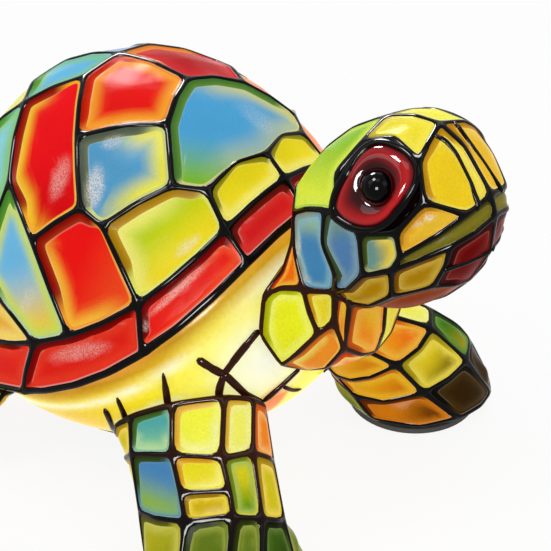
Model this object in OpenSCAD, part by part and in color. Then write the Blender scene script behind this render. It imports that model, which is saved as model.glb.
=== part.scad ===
// Stained glass night light in the form of a walking turtle.
// Glass panes sit in a lattice of black came over a hollow amber body with a battery base.
// Units are millimetres. X points to the head, Y to the turtle's left, Z up, Z = 0 is the table.

/* [Shell] */
// length of the domed shell along its own axis
shell_length = 149; // [140:1:160]
// width of the domed shell
shell_width = 123; // [116:1:130]
// height of the dome above its widest line
shell_dome = 83.5; // [79:0.5:88]
// how far the front of the shell is tipped up, in degrees
shell_pitch = 15.5; // [12:0.5:18]
// how far the top of the dome leans forward
shell_lean = 2.5; // [0:0.5:5]
// height of the dome's centre above the table
shell_height = 50.5; // [48:0.5:54]
// place of the dome's centre along X, so that the lamp's box is centred on the origin
shell_x = -23; // [-35:1:-15]
// angle down from the top of the dome to the rim over the neck
rim_front = 66.5; // [64:0.5:69]
// angle down from the top of the dome to the rim at the sides
rim_side = 95.5; // [93:0.5:98]
// how quickly the rim rises towards the neck
rim_rise = 3.8; // [3:0.1:5]

/* [Came and glass] */
// width of a came strip between two panes
came_width = 2.2; // [1.8:0.1:2.6]
// width of the came around the rim of the shell
rim_width = 3.2; // [2.8:0.1:3.6]
// height of the came's ridge above the surface
came_crown = 0.7; // [0.4:0.1:1.2]
// depth of the came below the surface
came_depth = 2.4; // [2.2:0.1:3]
// clearance between a pane and its came
pane_gap = 0.16; // [0.1:0.02:0.25]
// width of the bevel around a pane
pane_bevel = 2; // [1:0.1:3]
// depth of a pane's face below the surface
pane_sink = 1.2; // [0.6:0.1:1.4]
// depth of a pane's back below the surface
pane_depth = 2.2; // [2:0.1:2.4]

/* [Head] */
// head centre in front of the dome's centre
head_reach = 87.5; // [82:0.5:94]
// head centre above the table
head_height = 115; // [110:0.5:122]
// upward tilt of the face, in degrees
head_tilt = 42; // [36:1:48]
// length from the head's centre to the nose
face_length = 35; // [31:0.5:39]
// half width of the head
head_half_width = 24; // [22:0.5:26]
// height of the head above its axis
crown_height = 24.5; // [22:0.5:27]
// depth of the head below its axis
jaw_depth = 29.5; // [27:0.5:32]
// length from the head's centre back to the nape
nape_length = 34; // [31:0.5:37]
// outer radius of the red glass ring around an eye
eye_radius = 11.4; // [11:0.1:11.6]
// radius of the black pupil bead
pupil_radius = 4.6; // [4:0.1:5]

/* [Legs] */
// right front foot's centre in front of the dome's centre
right_foot_x = 65; // [62:1:68]
// right front foot's centre out from the middle
right_foot_y = 48; // [45:1:52]
// left front foot's centre in front of the dome's centre, in mid step
left_foot_x = 57; // [53:1:61]
// left front foot's centre out from the middle, in mid step
left_foot_y = 63; // [59:1:66]
// radius of a front foot
front_foot_radius = 24; // [22:0.5:26]
// rear feet's centres behind the dome's centre
rear_foot_x = 56; // [52:1:60]
// right rear foot's centre out from the middle, in mid step
right_rear_foot_y = 66; // [63:1:69]
// left rear foot's centre out from the middle
left_rear_foot_y = 46; // [43:1:50]
// radius of a rear foot
rear_foot_radius = 18; // [16:0.5:20]
// how far the toes reach beyond the foot
toe_reach = 4; // [2:0.5:6]
// thickness of a rubber foot pad under its leg
pad_height = 1.9; // [1.5:0.1:2]

/* [Body] */
// wall of the amber body
body_wall = 2.4; // [2:0.1:3]
// height of the flat belly above the table
belly_height = 19; // [18:0.5:20]
// height that the belly would round down to if it were not cut flat
belly_low = 14; // [13:0.5:15]
// clearance between the body and the lattices that rest on it
body_gap = 0.5; // [0.4:0.05:0.8]
// width of the flat land around the belly opening
land_width = 7; // [6:0.5:8]
// height of the land
land_height = 6; // [5:0.5:8]

/* [Base and lamp] */
// thickness of the base plate
plate_thickness = 3.2; // [3:0.1:4]
// radius of a battery cell
cell_radius = 5.25; // [5.1:0.05:5.4]
// length of a battery cell with its nub
cell_length = 44.5; // [44:0.1:45]
// wall of the battery tray
tray_wall = 1.6; // [1.2:0.1:2]
// radius of the lamp board
board_radius = 17; // [15:0.5:20]
// travel of the switch
switch_travel = 3; // [2:0.5:4]

/* [Hidden] */
$fn = 48;

// clearance of parts that slide or swing on each other
run_gap = 0.4;
// height of a came strip's edges, and of a pane's rim beside it, as shares of the ridge
came_edge = 0.4;
pane_edge = 0.2;
// how far the middle of a pane swells above the edge of its face
pane_swell = 0.3;
// widest bevel as a share of a pane's area over its girth, and the width at which it sinks half as deep
bevel_share = 0.6;
bevel_half = 0.3;
// depth of the faces on the head and on the legs as shares of that on the shell
head_sink = 0.75;
leg_sink = 0.75;
// semi-axes of the amber body under the shell
body_a = shell_length / 2 - came_depth - body_gap;
body_b = shell_width / 2 - came_depth - body_gap;
body_h = shell_dome - came_depth - body_gap;
// fullness of the body's bowl at its back and at its front, lower is fuller
bowl_back = 0.8;
bowl_front = 0.85;
// how far the body's skin goes up under the rim, in degrees
skin_lap = 1.4;
// lift of the ends of the legs and of the neck above the body
ring_lift = 1.6;
// angles on the head: the widest section is 90, the neck starts at the nape
nape_angle = 128;
// squareness of the head's section and bluntness of the nose
head_square = 2.25;
nose_blunt = 0.75;
// radius on the head's disc at which the neck meets the body
neck_end = 160;
// ring on the body that carries the neck: its half width, its middle, and its reach up and down from there
neck_spread = 27;
neck_middle = 84;
neck_rise = 13;
neck_drop = 20;
// swelling of the throat and waist at the back of the neck
neck_bulge = 8;
neck_waist = 5;
// a leg is foot x, foot y, foot radius, toe direction, its ring on the body as turn, drop and half sizes,
// and the bulge of its instep towards the toes
right_leg = [right_foot_x, -right_foot_y, front_foot_radius, -45, -46, 117, 23, 18, 0];
left_leg = [left_foot_x, -left_foot_y, front_foot_radius, -45, -50, 117, 23, 18, 14];
right_rear_leg = [-rear_foot_x, -right_rear_foot_y, rear_foot_radius, -100, -137, 122, 18, 13, 0];
left_rear_leg = [-rear_foot_x, -left_rear_foot_y, rear_foot_radius, -100, -137, 122, 18, 13, 0];
// height of the lowest came of a leg above the table
leg_bottom = 3.6;
// a foot pad: its edge inside the foot's, room around its plug, and the plug's height in the leg
pad_inset = 2;
plug_room = 2.2;
pad_plug = 0.4;
// swelling of a leg along its height, foot to body
leg_shape = [[0, 0], [14, 0.08], [36, 0], [70, 0.02], [100, 0]];
// share of the instep's bulge along the height of a leg
instep_shape = [[0, 0], [20, 0.4], [40, 0.8], [60, 1], [78, 0.7], [100, 0]];
// middle of the belly opening and of the battery bay along X
bay_x = (body_point(0, belly_drop(0)).x + body_point(180, belly_drop(180)).x) / 2;
bay_length = cell_length + 6;
bay_width = 4 * cell_radius + 2;
tray_height = 2 * cell_radius + 1.2;
door_length = bay_length - 2;
door_width = bay_width - 1;
tray_top = belly_height + tray_height + tray_wall;
post_radius = 2.2;
post_height = 8;
board_bottom = tray_top + post_height;
board_thickness = 1.6;
chip_size = 3.5;
chip_height = 1.2;
chip_circle = 10;
diffuser_wall = 1.6;
// the door's pin, its reach into the plate at each end, and the finger notch in the door
pin_radius = 0.6;
pin_reach = 4.5;
notch_radius = 1.4;
notch_length = 12;
hinge_y = plate_thickness / 2 - door_width / 2;
hinge_z = belly_height - plate_thickness / 2;
// the switch: its housing, its room beside the tray, the cavity in it, and the slider's stem and flange
switch_size = [14, 9, 6];
switch_room = 0.7;
switch_y = bay_width / 2 + tray_wall + switch_room + switch_size.y / 2;
switch_cavity = [switch_travel + 8.8, 6.4, 3];
stem_size = [4.8, 4, plate_thickness + 2];
flange_size = [8, 5.6, 2.1];
stem_drop = plate_thickness + 1.4;
// the screws: where they sit around the belly, their size, and the play around them
screw_turns = [40, 140, 220, 320];
screw_radius = 1.4;
screw_head_radius = 2.7;
screw_head_height = 1.6;
screw_length = plate_thickness + land_height - 2.2;
screw_play = 0.3;

function unit(v) = v / norm(v);
function mix(a, b, k) = a + (b - a) * k;
function polar(r, t) = [r * cos(t), r * sin(t)];

// Turns a point of the shell's own frame into the lamp's frame.
function tip(p) =
    let (x = p.x + shell_lean * p.z / shell_dome)
    [
        x * cos(shell_pitch) - p.z * sin(shell_pitch) + shell_x,
        p.y,
        x * sin(shell_pitch) + p.z * cos(shell_pitch) + shell_height
    ];

// Angle down from the top of the dome to the rim, at turn t.
function rim_angle(t) =
    let (w = pow(0.5 + 0.5 * cos(t), rim_rise))
    mix(rim_side, rim_front, w);

// The dome: a disc with the top of the shell at its centre and the rim at radius 100.
function shell_point(m) =
    let (t = norm(m) == 0 ? 0 : atan2(m.y, m.x), q = norm(m) / 100 * rim_angle(t))
    tip([shell_length / 2 * sin(q) * cos(t), shell_width / 2 * sin(q) * sin(t), shell_dome * cos(q)]);

// The amber body at turn t and drop q: a dome down to 90 degrees, then a full bowl.
function body_point(t, q) = q <= 90
    ? tip([body_a * sin(q) * cos(t), body_b * sin(q) * sin(t), body_h * cos(q)])
    : let (e = tip([body_a * cos(t), body_b * sin(t), 0]), s = sin(q - 90))
      let (k = pow(cos(q - 90), mix(bowl_back, bowl_front, 0.5 + 0.5 * cos(t))))
      [shell_x + (e.x - shell_x) * k, e.y * k, mix(e.z, belly_low, s)];
function body_normal(t, q) =
    unit(cross(body_point(t + 1, q) - body_point(t - 1, q), body_point(t, q - 1) - body_point(t, q + 1)));
// Drop at which the bowl reaches the flat belly.
function belly_drop(t) =
    let (e = tip([body_a * cos(t), body_b * sin(t), 0]))
    90 + asin((e.z - belly_height) / (e.z - belly_low));

// A ring around a place on the body, held clear of it, for the end of a leg or the neck.
function body_ring(t, q) = body_point(t, q) + ring_lift * body_normal(t, q);

// The head: a disc with the nose at its centre and the nape at radius 100, x to the left and y up.
function head_frame(along, left, up) = [
    shell_x + head_reach + along * cos(head_tilt) - up * sin(head_tilt),
    left,
    head_height + along * sin(head_tilt) + up * cos(head_tilt)
];
function head_girth(a) =
    let (high = sin(a) > 0 ? crown_height : jaw_depth)
    let (wide = pow(abs(cos(a)) / head_half_width, head_square), tall = pow(abs(sin(a)) / high, head_square))
    pow(wide + tall, -1 / head_square);
function head_polar(a, q) =
    let (along = q < 90 ? face_length * cos(q) : nape_length * cos(q))
    let (r = head_girth(a) * (q < 90 ? pow(sin(q), nose_blunt) : sin(q)))
    head_frame(along, r * cos(a), r * sin(a));
// Beyond radius 100 the disc goes on as the neck, to the body at the neck's end.
function head_point(m) =
    let (r = norm(m), a = r == 0 ? 0 : atan2(m.y, m.x))
    r <= 100
        ? head_polar(a, r / 100 * nape_angle)
        : let (k = (r - 100) / (neck_end - 100))
          let (swell = mix(-neck_waist, neck_bulge, pow(0.5 - 0.5 * sin(a), 2)) * sin(180 * k))
          let (q = neck_middle - (sin(a) > 0 ? neck_rise : neck_drop) * sin(a))
          mix(head_polar(a, nape_angle), body_ring(neck_spread * cos(a), q), k)
          + swell * (head_frame(0, cos(a), sin(a)) - head_frame(0, 0, 0));

// A leg: x is the angle around it and y runs from 0 at the foot to 100 at the body.
function leg_point(leg, m) =
    let (a = round((m.x % 360) * 1000) / 1000, h = m.y / 100)
    let (foot = [shell_x + leg[0], leg[1], leg_bottom], hip = body_point(leg[4], leg[5]))
    let (ahead = pow(max(0, cos(a - leg[3])), 2) * [cos(leg[3]), sin(leg[3]), 0])
    let (low = leg[2] * [cos(a), sin(a), 0] + toe_reach * ahead)
    let (high = body_ring(leg[4] + leg[6] * cos(a), leg[5] + leg[7] * sin(a)) - hip)
    mix(foot, hip, h) + mix(low, high, h) * (1 + lookup(m.y, leg_shape))
        + leg[8] * lookup(m.y, instep_shape) * ahead;

// Panelled surfaces. A surface is [point function, ring radius, longest step, came width on free edges].
// A tube has no longest step and goes by 36 degrees.
// Edges between two points beyond the ring radius follow the ring instead of a straight line.
// Points numbered 1000 and up are the same points one turn further round a tube.
shell_surface = [function(m) shell_point(m), 80, 16, rim_width];
head_surface = [function(m) head_point(m), 90, 14, came_width];
right_leg_surface = [function(m) leg_point(right_leg, m), 0, 0, came_width];
left_leg_surface = [function(m) leg_point(left_leg, m), 0, 0, came_width];
right_rear_leg_surface = [function(m) leg_point(right_rear_leg, m), 0, 0, came_width];
left_rear_leg_surface = [function(m) leg_point(left_rear_leg, m), 0, 0, came_width];

function place(points, id) = points[id % 1000] + [360 * floor(id / 1000), 0];
function normal_at(f, m) =
    unit(cross(f(m + [0.5, 0]) - f(m - [0.5, 0]), f(m + [0, 0.5]) - f(m - [0, 0.5])));
function edge_steps(s, a, b) =
    max(1, ceil(s[2] > 0 ? norm(s[0](a) - s[0](b)) / s[2] : abs(a.x - b.x) / 36));
function edge_at(s, a, b, k) =
    let (m = mix(a, b, k))
    s[1] > 0 && norm(a) >= s[1] && norm(b) >= s[1] ? m * mix(norm(a), norm(b), k) / norm(m) : m;

// Outline of a cell as disc points. Each edge is stepped from its lower-numbered end,
// so that two cells that share it use the very same points.
function outline(s, points, ids) = [
    for (i = [0:len(ids) - 1])
        let (a = ids[i], b = ids[(i + 1) % len(ids)], up = a % 1000 < b % 1000)
        let (lo = place(points, up ? a : b), hi = place(points, up ? b : a), n = edge_steps(s, lo, hi))
        for (k = [0:n - 1]) edge_at(s, lo, hi, (up ? k : n - k) / n)
];
function edge_codes(cells) = [
    for (c = cells) for (i = [0:len(c[1]) - 1])
        (c[1][i] % 1000) * 1000 + c[1][(i + 1) % len(c[1])] % 1000
];
// Came width on each step of a cell's outline: whole along a free edge, half along a shared one.
function widths(s, points, ids, codes) = [
    for (i = [0:len(ids) - 1])
        let (a = ids[i], b = ids[(i + 1) % len(ids)], up = a % 1000 < b % 1000)
        let (lo = place(points, up ? a : b), hi = place(points, up ? b : a), n = edge_steps(s, lo, hi))
        let (free = search((b % 1000) * 1000 + a % 1000, codes) == [])
        for (k = [1:n]) free ? s[3] : came_width / 2
];
// Moves an outline inwards along the surface, each step by its own width.
function inset(p, n, w) = [
    for (i = [0:len(p) - 1])
        let (e = (i + len(p) - 1) % len(p), g = (i + 1) % len(p))
        let (u = unit(cross(n[i], p[i] - p[e])), v = unit(cross(n[i], p[g] - p[i])), c = u * v)
        p[i] + (c > 0.95
            ? (u + v) / 2 * max(w[e], w[i])
            : (u * (w[e] - c * w[i]) + v * (w[i] - c * w[e])) / max(0.3, 1 - c * c))
];
function lifted(p, n, h) = [for (i = [0:len(p) - 1]) p[i] + h * n[i]];
// Two triangles for each step between two rings of n points, seen clockwise from outside.
function band(n, low, high) = [
    for (i = [0:n - 1])
        let (j = (i + 1) % n)
        each [[low + i, high + i, high + j], [low + i, high + j, low + j]]
];
// The same with each step cut along its other diagonal, so that a pane's wall follows that of its came.
function wall(n, low, high) = [
    for (i = [0:n - 1])
        let (j = (i + 1) % n)
        each [[low + i, high + i, low + j], [high + i, high + j, low + j]]
];
function shifted(faces, by) = [for (f = faces) [for (i = f) i + by]];

// The lattice of came around all cells of a surface, as one solid.
module came(s, points, cells) {
    codes = edge_codes(cells);
    parts = [
        for (c = cells)
            let (m = outline(s, points, c[1]))
            let (p = [for (x = m) s[0](x)], n = [for (x = m) normal_at(s[0], x)])
            let (w = widths(s, points, c[1], codes), q = inset(p, n, w))
            [
                concat(lifted(p, n, came_crown), lifted(q, n, came_crown * came_edge),
                       lifted(q, n, -came_depth), lifted(p, n, -came_depth)),
                [for (x = w) x == s[3]]
            ]
    ];
    starts = [for (i = 0, at = 0; i < len(parts); at = at + len(parts[i][0]), i = i + 1) at];
    faces = [
        for (k = [0:len(parts) - 1])
            let (n = len(parts[k][1]))
            each shifted(concat(
                band(n, 0, n),
                band(n, n, 2 * n),
                band(n, 2 * n, 3 * n),
                [for (i = [0:n - 1]) if (parts[k][1][i])
                    let (j = (i + 1) % n)
                    each [[3 * n + i, i, j], [3 * n + i, j, 3 * n + j]]]
            ), starts[k])
    ];
    polyhedron(points = [for (part = parts) each part[0]], faces = faces, convexity = 10);
}

// One pane that fills a cell, with a bevel down to its sunk face, which follows the surface.
module pane(s, points, ids, codes, sink, domed) {
    m = outline(s, points, ids);
    n = len(m);
    p = [for (x = m) s[0](x)];
    out = [for (x = m) normal_at(s[0], x)];
    w = widths(s, points, ids, codes);
    middle = [for (k = [0, 1]) [for (x = m) x[k]] * [for (x = m) 1 / n]];
    centre = s[0](middle);
    up = normal_at(s[0], middle);
    rim = inset(p, out, [for (x = w) x + pane_gap]);
    girth = [for (i = [0:n - 1]) norm(rim[(i + 1) % n] - rim[i])] * [for (i = [0:n - 1]) 1];
    area = [for (i = [0:n - 1]) norm(cross(rim[i] - centre, rim[(i + 1) % n] - centre)) / 2]
        * [for (i = [0:n - 1]) 1];
    bevel = min(pane_bevel, bevel_share * area / girth);
    face = inset(p, out, [for (x = w) x + pane_gap + bevel]);
    deep = sink * bevel / (bevel + bevel_half);
    inner = [for (x = m) mix(middle, x, 0.45)];
    rings = concat(
        lifted(rim, out, -pane_depth),
        lifted(rim, out, came_crown * pane_edge),
        lifted(face, out, -deep),
        domed ? [for (x = inner) s[0](x) + (pane_swell * 2 / 3 - deep) * normal_at(s[0], x)] : []
    );
    last = len(rings) - n;
    faces = concat(
        wall(n, 0, n),
        band(n, n, 2 * n),
        domed ? band(n, 2 * n, 3 * n) : [],
        [for (i = [0:n - 1]) [last + (i + 1) % n, last + i, len(rings)]],
        [for (i = [0:n - 1]) [i, (i + 1) % n, len(rings) + 1]]
    );
    polyhedron(
        points = concat(rings, [centre + (pane_swell - deep) * up, centre - pane_depth * up]),
        faces = faces,
        convexity = 4
    );
}

// All panes of one colour group on a surface.
module panes(s, points, cells, group, sink, domed = false) {
    codes = edge_codes(cells);
    for (c = cells) {
        if (c[0] == group) {
            pane(s, points, c[1], codes, sink, domed);
        }
    }
}

// Adds the left side to a list of right-side points and cells. The first points lie on the middle line.
function both_sides(middle, side, flip) =
    concat(middle, side, [for (v = side) [v.x * flip.x, v.y * flip.y]]);
function other_side(ids, first, count) = [
    for (i = [len(ids) - 1:-1:0]) ids[i] < first ? ids[i] : ids[i] + count
];
function both_cells(cells, first, count) = concat(
    [for (c = cells) [c[0], c[2]]],
    [for (c = cells) [c[1], other_side(c[2], first, count)]]
);

// Shell panes on the disc, forward to +X and left to +Y.
shell_middle = [[6, 0], [38, 0], [76, 0], [86, 0], [-26, 0], [-60, 0], [-87, 0], [-100, 0], [100, 0]];
shell_side = [
    [3, -15], [13, -36], [42, -24], [52, -40], [65, -34], polar(86, -27), [31, -57], [22, -54],
    polar(87, -55), [6, -63], [-7, -48], [-14, -23], polar(87, -75), polar(87, -86), [-18, -70],
    [-42, -28], [-46, -58], polar(87, -125), polar(87, -152), polar(100, -24), polar(100, -57),
    polar(100, -95), polar(100, -125), polar(100, -153)
];
shell_points = both_sides(shell_middle, shell_side, [1, -1]);
shell_left = len(shell_side);
// Each row is the colour on the right, the colour on the left, and the right cell's points.
shell_cells = concat(
    both_cells([
        ["orange", "red", [0, 9, 10, 11, 1]],
        ["green", "blue", [4, 20, 9, 0]],
        ["red", "yellow", [20, 19, 18, 16, 10, 9]],
        ["blue", "orange", [10, 16, 15, 12, 11]],
        ["yellow", "green", [15, 17, 14, 13, 12]],
        ["red", "red", [18, 21, 17, 15, 16]],
        ["blue", "blue", [19, 23, 22, 21, 18]],
        ["blue", "green", [20, 24, 25, 23, 19]],
        ["yellow", "yellow", [4, 5, 24, 20]],
        ["orange", "orange", [23, 25, 26, 22]],
        ["red", "green", [24, 27, 26, 25]],
        ["green", "blue", [5, 6, 27, 24]],
        ["yellow", "yellow", [13, 14, 3, 2]],
        ["rim", "rim", [14, 28, 8, 3]],
        ["rim", "rim", [17, 29, 28, 14]],
        ["rim", "rim", [22, 30, 29, 17, 21]],
        ["rim", "rim", [26, 31, 30, 22]],
        ["rim", "rim", [27, 32, 31, 26]],
        ["rim", "rim", [6, 7, 32, 27]]
    ], len(shell_middle), shell_left),
    [
        ["blue", [1, 11, 12, 13, 2, 13 + shell_left, 12 + shell_left, 11 + shell_left]]
    ]
);

// Head and neck panes on the disc, left to +X and up to +Y.
head_middle = [[0, 100], [0, 48], [0, 20], [0, -11], [0, -20], [0, -56], [0, -100], [0, neck_end],
    [0, -130], [0, -neck_end]];
head_side = [
    [-30, -4], [-21, 12], [-19, 30], [-26, 43], [-46, 41], [-62, 19], [-61, -2], [-46, -12],
    [-13, 15], [-13, -15], [-46, -26], [-64, -32], [-50, -33], [-23, -27], [-28, -48], [-47, -52],
    [-75, 54], [-80, -60], [-60, -80], polar(121, 222), polar(111, 228), polar(121, 242),
    polar(neck_end, 150), polar(neck_end, 216), polar(neck_end, 243), [-110, -26], [-65, 27], [-105, 30],
    [-80, 6]
];
head_points = both_sides(head_middle, head_side, [-1, 1]);
eye_cell = [10, 11, 12, 13, 14, 15, 16, 17];
eye_spot = [-43, 17];
head_cells = both_cells([
    ["green", "green", [1, 0, 26, 36, 15, 14, 13]],
    ["yellow", "yellow", [2, 1, 13, 12, 11, 18]],
    ["yellow", "yellow", [3, 2, 18, 11, 10, 19]],
    ["amber", "amber", [19, 10, 17, 20]],
    ["blue", "blue", [20, 17, 16, 21, 22]],
    ["blue", "blue", [21, 16, 15, 36, 38, 27]],
    ["blue", "blue", [27, 38, 36, 26, 37, 35]],
    ["eye", "eye", eye_cell],
    ["lip", "lip", [4, 3, 19, 20, 22, 23]],
    ["jaw", "jaw", [5, 4, 23, 24]],
    ["amber", "amber", [24, 23, 22, 25]],
    ["amber", "amber", [25, 22, 21, 27, 28]],
    ["yellow", "yellow", [6, 5, 24, 25, 28]],
    ["neck_yellow", "neck_yellow", [26, 0, 7, 32]],
    ["neck_orange", "neck_orange", [35, 37, 26, 32]],
    ["neck_green", "neck_green", [29, 35, 32, 33]],
    ["neck_yellow", "neck_yellow", [27, 35, 29, 30]],
    ["neck_orange", "neck_orange", [28, 27, 30, 31]],
    ["neck_orange", "neck_yellow", [6, 28, 31, 8]],
    ["neck_yellow", "neck_yellow", [31, 30, 29, 33, 34]],
    ["neck_orange", "neck_orange", [8, 31, 34, 9]]
], len(head_middle), len(head_side));

// Leg panes on the tube, rows of points from the toes up. Each point is [angle, height].
leg_rows = [
    [[-142, 0], [-90, 0], [-55, 0], [-28, 0], [15, 0], [85, 0], [155, 0]],
    [[-142, 36], [-88, 42], [-53, 47], [-27, 46], [15, 40], [85, 36], [155, 36]],
    [[-139, 74], [-101, 73], [-66, 72], [-40, 75], [5, 73], [80, 66], [155, 70]],
    [[-136, 100], [-103, 100], [-68, 100], [-42, 100], [0, 100], [75, 100], [150, 100]]
];
leg_colours = [
    ["toe", "toe", "toe", "toe", "toe", "toe", "toe"],
    ["blue", "yellow", "green", "yellow", "orange", "orange", "yellow"],
    ["blue", "yellow", "yellow", "orange", "yellow", "orange", "yellow"]
];
leg_columns = len(leg_rows[0]);
// height of the toes of a rear leg
rear_toes = 50;
rear_rows = [leg_rows[0], [for (p = leg_rows[1]) [p.x, rear_toes]], leg_rows[3]];
// The second pane of a front leg's middle row is cut across between two further points.
split_points = [[-93, 55], [-58, 58]];
front_grid = concat([for (row = leg_rows) each row], split_points);
rear_grid = [for (row = rear_rows) each row];
function leg_cells(rows) = [
    for (r = [0:len(rows) - 2]) for (c = [0:leg_columns - 1])
        let (a = r * leg_columns + c)
        let (b = r * leg_columns + (c + 1) % leg_columns + (c == leg_columns - 1 ? 1000 : 0))
        [leg_colours[r][c], [a, b, b + leg_columns, a + leg_columns]]
];
split_at = len(leg_rows) * leg_columns;
front_cells = [
    for (i = [0, 1], c = leg_cells(leg_rows))
        let (ids = c[1], cut = ids[0] - leg_columns)
        if (i == 0 || cut == 1)
            [c[0], cut == 0 ? [ids[0], ids[1], split_at, ids[2], ids[3]]
                 : cut == 2 ? [ids[0], ids[1], ids[2], ids[3], split_at + 1]
                 : cut == 1 && i == 0 ? [ids[0], ids[1], split_at + 1, split_at]
                 : cut == 1 ? [split_at, split_at + 1, ids[2], ids[3]]
                 : ids]
];
rear_cells = leg_cells(rear_rows);

// Lays a part on an axis through a place.
module stand(at, axis) {
    translate(at)
        rotate([0, acos(axis.z), atan2(axis.y, axis.x)])
            children();
}
module left_and_right() {
    children();
    mirror([0, 1, 0]) children();
}

// Shell
module shell_came() {
    color("black") came(shell_surface, shell_points, shell_cells);
}
module shell_panes(group) {
    panes(shell_surface, shell_points, shell_cells, group, pane_sink, true);
}
module shell_rim_panes() {
    color("crimson") shell_panes("rim");
}
module shell_red_panes() {
    color("red") shell_panes("red");
}
module shell_orange_panes() {
    color("orangered") shell_panes("orange");
}
module shell_yellow_panes() {
    color("gold") shell_panes("yellow");
}
module shell_blue_panes() {
    color("royalblue") shell_panes("blue");
}
module shell_green_panes() {
    color("yellowgreen") shell_panes("green");
}

// Body: a hollow amber shell from under the rim down to the flat belly land.
body_turns = 36;
body_levels = 6;
function body_ring_points(k, depth) = [
    for (i = [0:body_turns - 1])
        let (t = i * 360 / body_turns, q = mix(rim_angle(t) - skin_lap, belly_drop(t), k / body_levels))
        body_point(t, q) - depth * body_normal(t, q)
];
function land_points(depth, z) = [
    for (i = [0:body_turns - 1])
        let (t = i * 360 / body_turns, p = body_point(t, belly_drop(t)), c = [bay_x, 0, 0])
        let (d = [p.x - c.x, p.y, 0])
        [p.x, p.y, z] - depth * unit(d)
];
module body_skin() {
    rings = concat(
        [for (k = [0:body_levels]) body_ring_points(k, 0)],
        [land_points(land_width, belly_height), land_points(land_width, belly_height + land_height)],
        [for (k = [body_levels - 2:-1:0]) body_ring_points(k, body_wall)]
    );
    polyhedron(
        points = [for (r = rings) each r],
        faces = [for (k = [0:len(rings) - 1])
            each band(body_turns, ((k + 1) % len(rings)) * body_turns, k * body_turns)],
        convexity = 10
    );
}
function screw_spot(i) =
    let (t = screw_turns[i], p = body_point(t, belly_drop(t)), d = unit([p.x - bay_x, p.y, 0]))
    [p.x, p.y, 0] - (land_width + 1.2) / 2 * d;
module body_shell() {
    color("goldenrod") difference() {
        body_skin();
        for (i = [0:3]) {
            translate(screw_spot(i) + [0, 0, belly_height - 1])
                cylinder(r = screw_radius + 0.1, h = land_height - 0.5);
        }
    }
}

// Head and neck
module head_came() {
    color("black") came(head_surface, head_points, head_cells);
}
module head_panes(group) {
    panes(head_surface, head_points, head_cells, group, pane_sink * head_sink);
}
module head_yellow_panes() {
    color("gold") head_panes("yellow");
}
module head_green_panes() {
    color("yellowgreen") head_panes("green");
}
module head_blue_panes() {
    color("steelblue") head_panes("blue");
}
module head_amber_panes() {
    color("darkgoldenrod") head_panes("amber");
}
module head_lip_panes() {
    color("olive") head_panes("lip");
}
module head_jaw_panes() {
    color("darkred") head_panes("jaw");
}
module neck_yellow_panes() {
    color("yellow") head_panes("neck_yellow");
}
module neck_orange_panes() {
    color("orange") head_panes("neck_orange");
}
module neck_green_panes() {
    color("greenyellow") head_panes("neck_green");
}

// Eyes: the ring lies in the plane of its opening, a little below the head's surface there.
// Its section is an ellipse, so that the far eye stays behind the head's outline.
eye_sink = 1.4;
eye_rise = 1.8;
eye_step = 15;
pupil_lift = -1;
eye_play = 0.15;
eye_axis = normal_at(head_surface[0], eye_spot);
eye_centre = head_point(eye_spot) - eye_sink * eye_axis;
eye_wire = (eye_radius - pupil_radius - eye_play) / 2;
module eye_rings() {
    color("firebrick") left_and_right()
        stand(eye_centre, eye_axis)
            rotate_extrude()
                translate([eye_radius - eye_wire, 0])
                    polygon([for (turn = [0 : eye_step : 360 - eye_step])
                        [eye_wire * cos(turn), eye_rise * sin(turn)]]);
}
module pupils() {
    color("black") left_and_right()
        stand(eye_centre + pupil_lift * eye_axis, eye_axis)
            sphere(pupil_radius);
}

// Legs
module front_right_leg_came() {
    color("black") came(right_leg_surface, front_grid, front_cells);
}
module front_left_leg_came() {
    color("black") mirror([0, 1, 0]) came(left_leg_surface, front_grid, front_cells);
}
module rear_right_leg_came() {
    color("black") came(right_rear_leg_surface, rear_grid, rear_cells);
}
module rear_left_leg_came() {
    color("black") mirror([0, 1, 0]) came(left_rear_leg_surface, rear_grid, rear_cells);
}
module leg_panes(group) {
    sink = pane_sink * leg_sink;
    panes(right_leg_surface, front_grid, front_cells, group, sink);
    panes(right_rear_leg_surface, rear_grid, rear_cells, group, sink);
    mirror([0, 1, 0]) {
        panes(left_leg_surface, front_grid, front_cells, group, sink);
        panes(left_rear_leg_surface, rear_grid, rear_cells, group, sink);
    }
}
module leg_yellow_panes() {
    color("gold") leg_panes("yellow");
}
module leg_orange_panes() {
    color("orange") leg_panes("orange");
}
module leg_green_panes() {
    color("yellowgreen") leg_panes("green");
}
module leg_blue_panes() {
    color("teal") leg_panes("blue");
}
module leg_toe_panes() {
    color("olivedrab") leg_panes("toe");
}
module foot_pad(leg) {
    translate([shell_x + leg[0], leg[1], 0]) {
        cylinder(r = leg[2] - pad_inset, h = pad_height);
        cylinder(r = leg[2] - came_depth - plug_room, h = leg_bottom + pad_plug);
    }
}
module foot_pads() {
    color("dimgray") {
        foot_pad(right_leg);
        foot_pad(right_rear_leg);
        mirror([0, 1, 0]) foot_pad(left_leg);
        mirror([0, 1, 0]) foot_pad(left_rear_leg);
    }
}

// Tail: a plain amber cone that stands on the back of the body below the rim.
tail_turn = 180;
tail_drop = 126;
tail_gap = 0.2;
tail_root = 5.5;
tail_tip = 1.6;
tail_length = 14;
module tail() {
    color("goldenrod")
        stand(body_point(tail_turn, tail_drop) + tail_gap * body_normal(tail_turn, tail_drop),
              body_normal(tail_turn, tail_drop))
            cylinder(r1 = tail_root, r2 = tail_tip, h = tail_length);
}

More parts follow.
